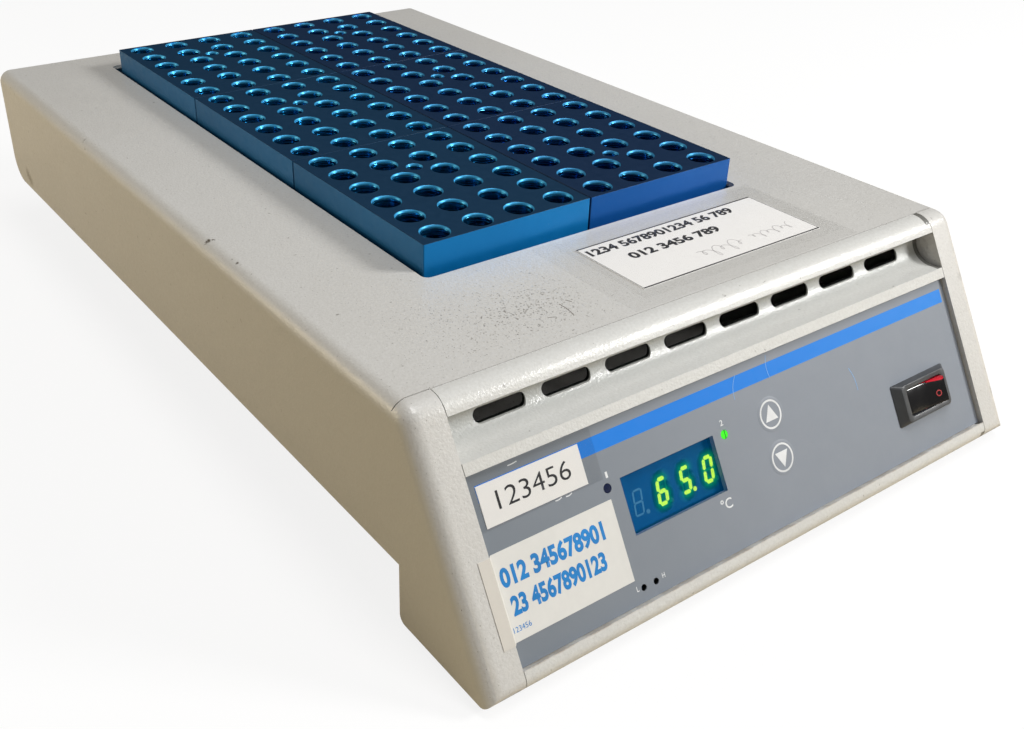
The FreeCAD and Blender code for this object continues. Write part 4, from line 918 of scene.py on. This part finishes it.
def rocker_cap(black, red, ink):
    """The black cap with soft edges, the red flank of the core and a ring on the raised end."""
    runs = [ROCKER_REACH * math.sin(math.radians(angle)) for angle in range(-90, 91, 10)]
    build, flank = Build(), Build()
    rings, strips = [], []
    for run in runs:
        end = 0.45 * (1 - math.sqrt(max(0.0, 1 - (run / ROCKER_REACH) ** 8)))
        top = crown(run) - end
        low = top - ROCKER_CAP + end - (ROCKER_END if abs(run) > 0.95 * ROCKER_REACH else 0)
        upper = -ROCKER_HALF + cut_back(run)
        back = [(upper + inset, top - drop) for inset, drop in CAP_EDGE]
        front = [(ROCKER_HALF - inset, top - drop) for inset, drop in reversed(CAP_EDGE)]
        section = [(upper, low), *back, (0, top - CAP_HOLLOW), *front, (ROCKER_HALF, low)]
        rings.append(build.loop(on_rocker(run, across, rise) for across, rise in section))
        if run > 0:
            strips.append(flank.loop([
                on_rocker(run, upper + 0.15, top - 0.3), on_rocker(run, upper - 0.05, top - 0.16),
                on_rocker(run, (upper - ROCKER_HALF) / 2, top - 0.45),
                on_rocker(run, -ROCKER_HALF, top - 1.2), on_rocker(run, -ROCKER_HALF, low - 0.6),
                on_rocker(run, upper + 0.15, low - 0.6)]))
    build.skin(rings)
    build.cap(rings[0])
    build.cap(rings[-1])
    item = build.finish("rocker_cap_soft", black, "black_plastic", "power_rocker", bend=40)
    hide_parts("rocker_cap")
    flank.skin(strips)
    flank.cap(strips[0])
    flank.cap(strips[-1])
    flank.finish("rocker_flank", red, "red_plastic", "power_rocker", bend=40)

    def on_cap(run, across, rise):
        return on_rocker(run, across, crown(run) + rise)

    mark = Build()
    mark.stroke(arc(*RING_MARK, steps=28), RING_MARK_LINE, -0.05, INK, on_cap, closed=True)
    mark.finish("rocker_ring", ink, "black_plastic", "power_rocker")


# Tape over the labels

TAPE_SKIN = 0.05
TAPE_RAMP = 1.3


def tape(name, outer, label, lift, place, stuff):
    """A clear strip that lies on a surface and rises over the label under it."""
    (left, low, right, high), (l_left, l_low, l_right, l_high) = outer, label
    xs = sorted({left, l_left - TAPE_RAMP, l_left, l_right, l_right + TAPE_RAMP, right})
    ys = sorted({low, l_low - TAPE_RAMP, l_low, l_high, l_high + TAPE_RAMP, high})
    xs = [x for x in xs if left <= x <= right]
    ys = [y for y in ys if low <= y <= high]
    build = Build()
    rows = []
    for y in ys:
        row = []
        for x in xs:
            over = l_left <= x <= l_right and l_low <= y <= l_high
            row.append(place(x, y, TAPE_SKIN + (lift if over else 0)))
        rows.append(build.loop(row))
    build.skin(rows, closed=False)
    build.finish(name, stuff, "label_paper")


# Slots of the front channel

VENT_COUNT = 8
VENT_MARGIN = 13.25
SEAM_X = 116.0
VENT_LONG = 20.0
VENT_TALL = 4.4
VENT_Z = 70.1
VENT_PITCH = (2 * SEAM_X - 2 * VENT_MARGIN - VENT_LONG) / (VENT_COUNT - 1)
COVE_RADIUS = 9.0
COVE_CENTRE_Z = 74.1
CHANNEL_RUN = 3.4
CHANNEL_Y = FACE_Y + (DECK_Z - FACE_Z) * math.tan(FACE_TILT) + CHANNEL_RUN


def slot_insides(item):
    """A mask of the cut edges of the slots, a little behind the paint of the cove."""
    x = item.axis("X", -VENT_PITCH * (VENT_COUNT - 1) / 2)
    number = item.maths("ROUND", item.maths("DIVIDE", x, VENT_PITCH))
    aside = item.maths("ABSOLUTE", item.maths("SUBTRACT", x, item.maths("MULTIPLY", number, VENT_PITCH)))
    beyond = item.maths("MAXIMUM", item.maths("SUBTRACT", aside, (VENT_LONG - VENT_TALL) / 2), 0.0)
    rise = item.axis("Z", VENT_Z)
    reach = item.maths("SQRT", item.maths("ADD", item.both(beyond, beyond), item.both(rise, rise)))
    edge = item.between(reach, VENT_TALL / 2 + 0.04, VENT_TALL / 2 + 0.08, 1.0, 0.0)
    fall = item.maths("MAXIMUM", item.maths("MULTIPLY", item.axis("Z", COVE_CENTRE_Z), -1), 0.0)
    square = item.maths("SUBTRACT", COVE_RADIUS ** 2, item.both(fall, fall))
    bulge = item.maths("SQRT", item.maths("MAXIMUM", square, 0.0))
    surface = item.maths("ADD", bulge, CHANNEL_Y - COVE_RADIUS)
    depth = item.maths("SUBTRACT", item.axis("Y"), surface)
    return item.both(edge, item.between(depth, 0.35, 0.6))


# Wear, painted shade and print

# Low limit, high limit and soft edge, along X and then along Y
GRIT_FIELD = ((-108, -34, 14), (-163, -116, 10))
GRIT_MIDDLE = ((-80, -42, 12), (-152, -132, 8))
# Each chip is x, y, the drop below the deck and a radius
CHIPS = (
    (-126.2, -34.6, 1.1, 1.15), (-124.7, -35.6, 0.6, 0.75), (-124.9, -30.0, 0.6, 0.45),
    (-128.6, -23.2, 3.2, 0.5), (-125.7, -53.7, 0.9, 0.6), (-125.6, -57.6, 0.9, 0.75),
    (-125.4, -59.7, 0.9, 0.6), (-127.2, -48.8, 1.9, 0.4))
DENTS = ((125.4, 2.0), (126.6, 50.0))
DENT_RADIUS = 1.7
DARK_SPOTS = ((-130, 194.0, 33.5), (-130, 190.5, 31.0))
DARK_SPOT_RADIUS = 2.4
RECESS_LONG = 60.0
TRIM_HOLES = ((-64.3, 55.4), (-59.0, 55.4))
# Left, right, top and low end of the stripe
STRIPE = (-113.0, 113.2, 3.9, 9.2)


def field(item, limits):
    """A mask of a part of the deck, from its limits and soft edges along X and Y."""
    across, along = (item.inside(item.axis(letter), *each) for letter, each in zip("XY", limits))
    return item.both(across, along)


def down_slope(item):
    """How far a point lies down the slope of the front, in millimetres."""
    return item.along(-FACE_UP, on_face(0, 0, 0))


def deck_wear_and_shade(item):
    """Grit before the blocks, painted shade down the left side, chips along its bend, painted shade of
    dents at the right, and dark brown spots at the back of the left side.
    """
    wide = item.maths("MULTIPLY", field(item, GRIT_FIELD), 0.06)
    dense = item.maths("MULTIPLY", field(item, GRIT_MIDDLE), 0.065)
    grit = item.maths("ADD", item.noise(1500, 2), item.maths("ADD", wide, dense))
    item.tint(item.between(grit, 0.70, 0.75, 0.0, 0.75), shown(96, 90, 82))
    # Painted shade: the left side darker and warmer towards the front.
    side = item.both(item.between(item.axis("X"), -128.3, -129.6), item.between(item.axis("Y"), 120, -190))
    item.tint(side, shown(181, 177, 165))
    for x, y, drop, radius in CHIPS:
        item.tint(item.near(on_deck(x, y, -drop), radius, 0.3, 0.5, 1300), shown(84, 76, 64))
    # Painted shade: grey spots for two small dents.
    for x, down in DENTS:
        item.tint(item.near(on_face(x, down, -1.4), DENT_RADIUS, 0.4, 0.3), shown(150, 150, 150), 0.7)
    # Two dark brown spots at the back of the left side.
    for dark_spot in DARK_SPOTS:
        item.tint(item.near(Vector(dark_spot) * MM, DARK_SPOT_RADIUS, 0.7, 0.5), shown(96, 84, 62), 0.6)


def front_dirt_and_shade(item):
    """Dirt under the film, and painted shade in the channel and cove under the lip, at the right seam,
    in the trimmer holes and in the slots.
    """
    line = item.inside(down_slope(item), RECESS_LONG - 0.3, RECESS_LONG + 0.3, 0.15)
    broken = item.between(item.noise(160, 3), 0.4, 0.6, 0.15, 0.6)
    item.tint(item.both(line, broken), shown(146, 130, 112))
    # Painted shade: the channel and cove under the lip darker.
    item.tint(item.inside(item.axis("Z"), 66.2, 77.5, 1.2), shown(187, 190, 187), 0.7)
    # Painted shade in the recess beside the right seam.
    under = item.between(item.along(FACE_OUT, on_face(0, 0, 0)), -0.2, -0.4)
    beside = item.inside(item.axis("X"), SEAM_X - 2.6, SEAM_X + 0.3, 0.1)
    item.tint(item.both(under, beside), shown(70, 68, 62), 0.85)
    # Painted shade inside the trimmer holes and the slots.
    for x, y in TRIM_HOLES:
        item.tint(item.near(on_face(x, y, -4.0), 2.3, 0.05, 0.0), shown(12, 12, 13))
    item.tint(slot_insides(item), shown(10, 11, 11))


def film_print(item):
    """The blue stripe of the film, and its darker left end."""
    run = item.axis("X")
    item.tint(item.between(run, 0.0, -110.0), shown(119, 126, 134))
    left, right, top, low = STRIPE
    stripe = item.both(item.inside(run, left, right, 0.08), item.inside(down_slope(item), top, low, 0.08))
    item.tint(stripe, shown(10, 118, 212))
    item.tint(item.both(stripe, item.between(run, -20, 100, 0.0, 0.4)), shown(60, 138, 216))


def paper_tone_and_fold_shade(item):
    """Painted shade on the end of the status label past its fold, darker and warmer, and the whiter
    paper of the other two.
    """
    run = item.axis("X")
    down = down_slope(item)
    # Painted shade: the end of the status label past its fold darker and warmer.
    folded = item.both(item.between(run, -113.8, -116.2), item.between(down, 22, 24))
    item.tint(folded, shown(196, 189, 178), 0.6)
    number = item.both(item.between(run, -73.4, -73.8), item.between(down, 17.6, 17.2))
    item.tint(number, shown(238, 236, 233), 0.9)
    item.tint(item.between(item.axis("Y"), -162, -160), shown(240, 238, 236), 0.9)


def scratches(name, lines, width, place, stuff, slot):
    """Thin marks on a surface."""
    build = Build()
    for line in lines:
        build.stroke(line, width, 0.0, INK, place)
    build.finish(name, stuff, slot)


def bow(start, end, sag, steps=8):
    """A shallow curve between two points."""
    start, end = Vector(start), Vector(end)
    across = Vector((start.y - end.y, end.x - start.x)).normalized() * sag
    return [tuple(start.lerp(end, step / steps) + across * math.sin(math.pi * step / steps))
            for step in range(steps + 1)]


def wavy(start, length, tall, waves, steps=60):
    """A faint line of loops, like writing that has faded."""
    line = []
    for step in range(steps + 1):
        share = step / steps
        turn = 2 * math.pi * waves * share
        lean = 0.35 * tall * math.sin(turn * 0.53)
        line.append((start[0] + length * share + 0.3 * tall * math.sin(turn),
                     start[1] + tall * 0.5 * math.cos(turn) + lean))
    return line


# The stage

camera()
world()
lights()
floor()
dark_card()

# The object's materials

FILM_GREY = shown(134, 140, 149)
CASE = paint("case_paint", shown(203, 202, 199), shown(192, 189, 183))
FRONT = paint("front_paint", shown(205, 205, 202), shown(196, 194, 188))
BLUE_LEFT = anodised("anodised_cyan_blue", shown(0, 122, 190))
BLUE_RIGHT = anodised("anodised_violet_blue", shown(8, 92, 172))
FILM = plain("overlay_film_grey", FILM_GREY, 0.42, 1200, 0.03, darker=0.96, Specular_IOR_Level=0.3)
PAPER_WHITE = plain("label_paper_white", shown(213, 212, 208), 0.7, 1500, 0.03, darker=0.95)
DARK = plain("display_dark", shown(0, 108, 172), 0.5, 1500, 0.03, Specular_IOR_Level=0.2)
LAMP_ON = Stuff("lamp_lit", shown(30, 150, 20), 0.3, Emission_Color=shown(60, 255, 10), Emission_Strength=0.8)
BEZEL = plain("bezel_dark_grey", shown(68, 70, 73), 0.4, 1300, 0.04)
GLOSS_BLACK = plain("black_gloss", shown(22, 21, 22), 0.16, 1300, 0.02)
RED = plain("red_moulded", shown(214, 34, 52), 0.25, 1300, 0.02)
DIGIT_LIT = Stuff("digit_lit", shown(30, 40, 0), 0.5, Emission_Color=shown(222, 255, 0),
                  Emission_Strength=1.45)
DIGIT_DIM = plain("digit_unlit", shown(110, 190, 225), 0.5, 1500, 0.02)
DIGIT_GLOW = glowing("digit_glow", shown(20, 240, 0), 0.42)
LAMP_GLOW = glowing("lamp_glow", shown(60, 255, 40), 0.16)
TAPE = Stuff("tape_clear", shown(150, 150, 146), 0.24, Alpha=0.05)
TAPE_GREY = Stuff("tape_clear_grey", shown(60, 64, 66), 0.24, Alpha=0.1)
WHITE_INK = inked("ink_white", shown(226, 228, 230))
BLACK_INK = inked("ink_black", shown(22, 20, 26))
GREY_INK = inked("ink_grey", shown(196, 192, 192), 0.6)
BLUE_INK = inked("ink_blue", shown(4, 126, 200))
RED_INK = inked("ink_red", shown(176, 60, 64), 0.4)
SCRATCH = inked("scratch_pale", shown(120, 170, 226))
MARK = inked("mark_dark", shown(112, 106, 98), 0.6)

# The material of each slot's CAD nodes

LOOKS = {
    "painted_case": CASE,
    "painted_front": FRONT,
    "blue_block": BLUE_LEFT,
    "bare_aluminium": brushed("aluminium_milled", shown(200, 201, 203), 0.34, (1, 0.05, 1)),
    "plated_steel": brushed("steel_plated", shown(186, 185, 180), 0.3, (1, 1, 0.1)),
    "core_steel": brushed("steel_laminated", shown(120, 120, 124), 0.45, (1, 1, 14)),
    "probe_steel": brushed("steel_drawn", shown(190, 190, 192), 0.22, (1, 0.08, 1)),
    "brass_contacts": brushed("brass_plated", shown(212, 188, 120), 0.26, (1, 0.1, 1)),
    "screw_brass": brushed("brass_turned", shown(208, 180, 110), 0.3, (1, 1, 1)),
    "overlay_film": FILM,
    "key_film": plain("key_film_grey", FILM_GREY, 0.42, 1200, 0.03, darker=0.96, Specular_IOR_Level=0.3),
    "window_filter": Stuff("window_blue", shown(0, 84, 142), 0.2, Alpha=0.28, Specular_IOR_Level=0.06),
    "display_black": DARK,
    "lamp_dark": plain("lamp_smoke", shown(8, 22, 58), 0.25, 1500, 0.02),
    "lamp_green": LAMP_ON,
    "black_plastic": plain("black_moulded", shown(42, 42, 44), 0.3, 1300, 0.04),
    "red_plastic": RED,
    "trimmer_blue": plain("trimmer_blue_plastic", shown(30, 70, 150), 0.4, 1300, 0.03),
    "board_green": plain("board_green_laminate", shown(24, 92, 52), 0.38, 700, 0.03),
    "terminal_green": plain("terminal_green_plastic", shown(40, 130, 80), 0.42, 1300, 0.03),
    "triac_black": plain("triac_black_epoxy", shown(34, 34, 36), 0.5, 1300, 0.03),
    "heater_mat": plain("heater_silicone", shown(190, 92, 52), 0.6, 500, 0.1),
    "wool_pad": plain("wool_felt", shown(222, 218, 205), 0.95, 260, 0.6, darker=0.85),
    "foot_rubber": plain("foot_rubber_black", shown(34, 34, 34), 0.75, 800, 0.08),
    "label_paper": PAPER_WHITE}

WELD_REACH = 0.002
SHARP_BEND = math.radians(32)


def dress_nodes():
    """Each CAD node in its slot's material, smooth apart from its sharp bends."""
    for node, item in NODES.items():
        mesh = item.data
        if "custom_normal" in mesh.attributes:
            mesh.attributes.remove(mesh.attributes["custom_normal"])
        mesh.materials.clear()
        mesh.materials.append(LOOKS[SLOTS[node]].material)
        mesh.polygons.foreach_set("use_smooth", [True] * len(mesh.polygons))
        weld = item.modifiers.new("weld", "WELD")
        weld.merge_threshold = WELD_REACH * MM
        split = item.modifiers.new("bends", "EDGE_SPLIT")
        split.split_angle = SHARP_BEND


def sample_blocks():
    """The six drilled blocks; the front right one is turned round."""
    for node in sorted(NODES):
        if SLOTS[node] == "blue_block":
            stuff = BLUE_LEFT if node.endswith("left") else BLUE_RIGHT
            sample_block(node, node == "block_front_right", stuff)


# Prints, tapes and marks

FILM_PRINTS = (
    ("window_unit", "°C", (-21.9, 43.1), 5.2, 3.7), ("actual_mark", "1", (-66.2, 17.0), 0.9, 2.0),
    ("setpoint_mark", "2", (-14.6, 17.0), 1.4, 2.0), ("low_mark", "L", (-66.9, 54.9), 0.9, 1.7),
    ("high_mark", "H", (-55.6, 54.7), 1.2, 1.7))
STATUS_PRINTS = (
    ("status_print_upper", "012 345678901", (-93.4, 32.6), 40.4, 6.4, 0.044),
    ("status_print_lower", "23 4567890123", (-94.0, 41.6), 37.0, 6.4, 0.044),
    ("status_print_small", "123456", (-110.9, 48.4), 6.6, 1.7, 0.0))
DECK_PRINTS = (
    ("deck_print_upper", "1234 5678901234 56 789", (-7.0, 13.0), 74.0, 5.0),
    ("deck_print_lower", "012 3456 789", (-9.9, 3.4), 45.4, 5.0))
DECK_BORDER = (45.6, 17.8)
DECK_LABEL = (LABEL_LOW.x, LABEL_LOW.y, LABEL_HIGH.x, LABEL_HIGH.y)
NUMBER_LABEL = (-112.8, 4.2, -73.8, 17.2)


def prints():
    """Plain characters on the film and the labels, and the deck label's border and faded pencil."""
    for values in FILM_PRINTS:
        lettering(*values, on_film, WHITE_INK, "overlay_film", 0.012)
    lettering("number_print", "123456", (-92.9, 10.3), 28.0, 5.9, on_paper, BLACK_INK, "label_paper", -0.005)
    for *values, weight in STATUS_PRINTS:
        lettering(*values, on_paper, BLUE_INK, "label_paper", weight)
    border = Build()
    x, y = DECK_BORDER
    border.stroke([(-x, -y), (x, -y), (x, y), (-x, y)], 0.7, 0, INK, on_label, closed=True)
    border.finish("deck_label_border", BLACK_INK, "label_paper")
    for values in DECK_PRINTS:
        lettering(*values, on_label, BLACK_INK, "label_paper", 0.04, turn=-1)
    pencil = [wavy((-10, -10.2), 22, 5.0, 5), wavy((17, -9.6), 22, 3.4, 6)]
    scratches("deck_label_pencil", pencil, 0.3, on_label, GREY_INK, "label_paper")


def tapes():
    """Two clear strips over the deck label and one over the number label."""
    lift = PAPER + INK
    tape("deck_tape_lower", (-33.5, -163.7, 81.2, -107.0), DECK_LABEL, lift, on_deck, TAPE)
    tape("deck_tape_upper", (-24.2, -158.6, 80.2, -109.0), DECK_LABEL, lift + TAPE_SKIN, on_deck, TAPE)
    tape("number_tape", (-115.2, 0.8, -67.8, 17.9), NUMBER_LABEL, lift, on_film, TAPE_GREY)


def marks():
    """Torn flecks by the tape, and scratches in the film and the deck."""
    flecks = [bow((-87.2, 17.9), (-84.6, 17.6), 0.2), bow((-83.0, 18.0), (-80.6, 17.7), 0.25),
              bow((-100.0, 2.0), (-96.5, 1.8), 0.1)]
    scratches("tape_flecks", flecks, 0.35, on_film, WHITE_INK, "label_paper")
    scored = [bow((-2.7, 3.7), (-5.8, 11.7), 1.0), bow((13.4, 1.4), (12.7, 9.6), 0.8),
              bow((52.0, 18.0), (53.8, 27.0), -0.7)]
    scratches("stripe_scratches", scored, 0.22, on_film, SCRATCH, "overlay_film")
    scuffs = [bow((-51, -145), (-52, -154), 0.5), bow((-47.5, -144), (-46.4, -146.2), 0.1),
              bow((-60.2, -150.4), (-57.4, -151.6), 0.2)]
    scratches("deck_scratches", scuffs, 0.3, on_deck, MARK, "painted_case")


# The object

dress_nodes()
deck_wear_and_shade(CASE)
front_dirt_and_shade(FRONT)
film_print(FILM)
paper_tone_and_fold_shade(PAPER_WHITE)
display_tone(DARK)
sample_blocks()
digits(DIGIT_LIT, DIGIT_DIM, DARK, DIGIT_GLOW)
key_prints(WHITE_INK, FILM)
lamp_parts(LAMP_ON, LAMP_GLOW)
switch_housing(BEZEL)
rocker_cap(GLOSS_BLACK, RED, RED_INK)
prints()
tapes()
marks()

boxes = [[list(corner) for corner in limits] for limits in (cad_box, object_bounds())]
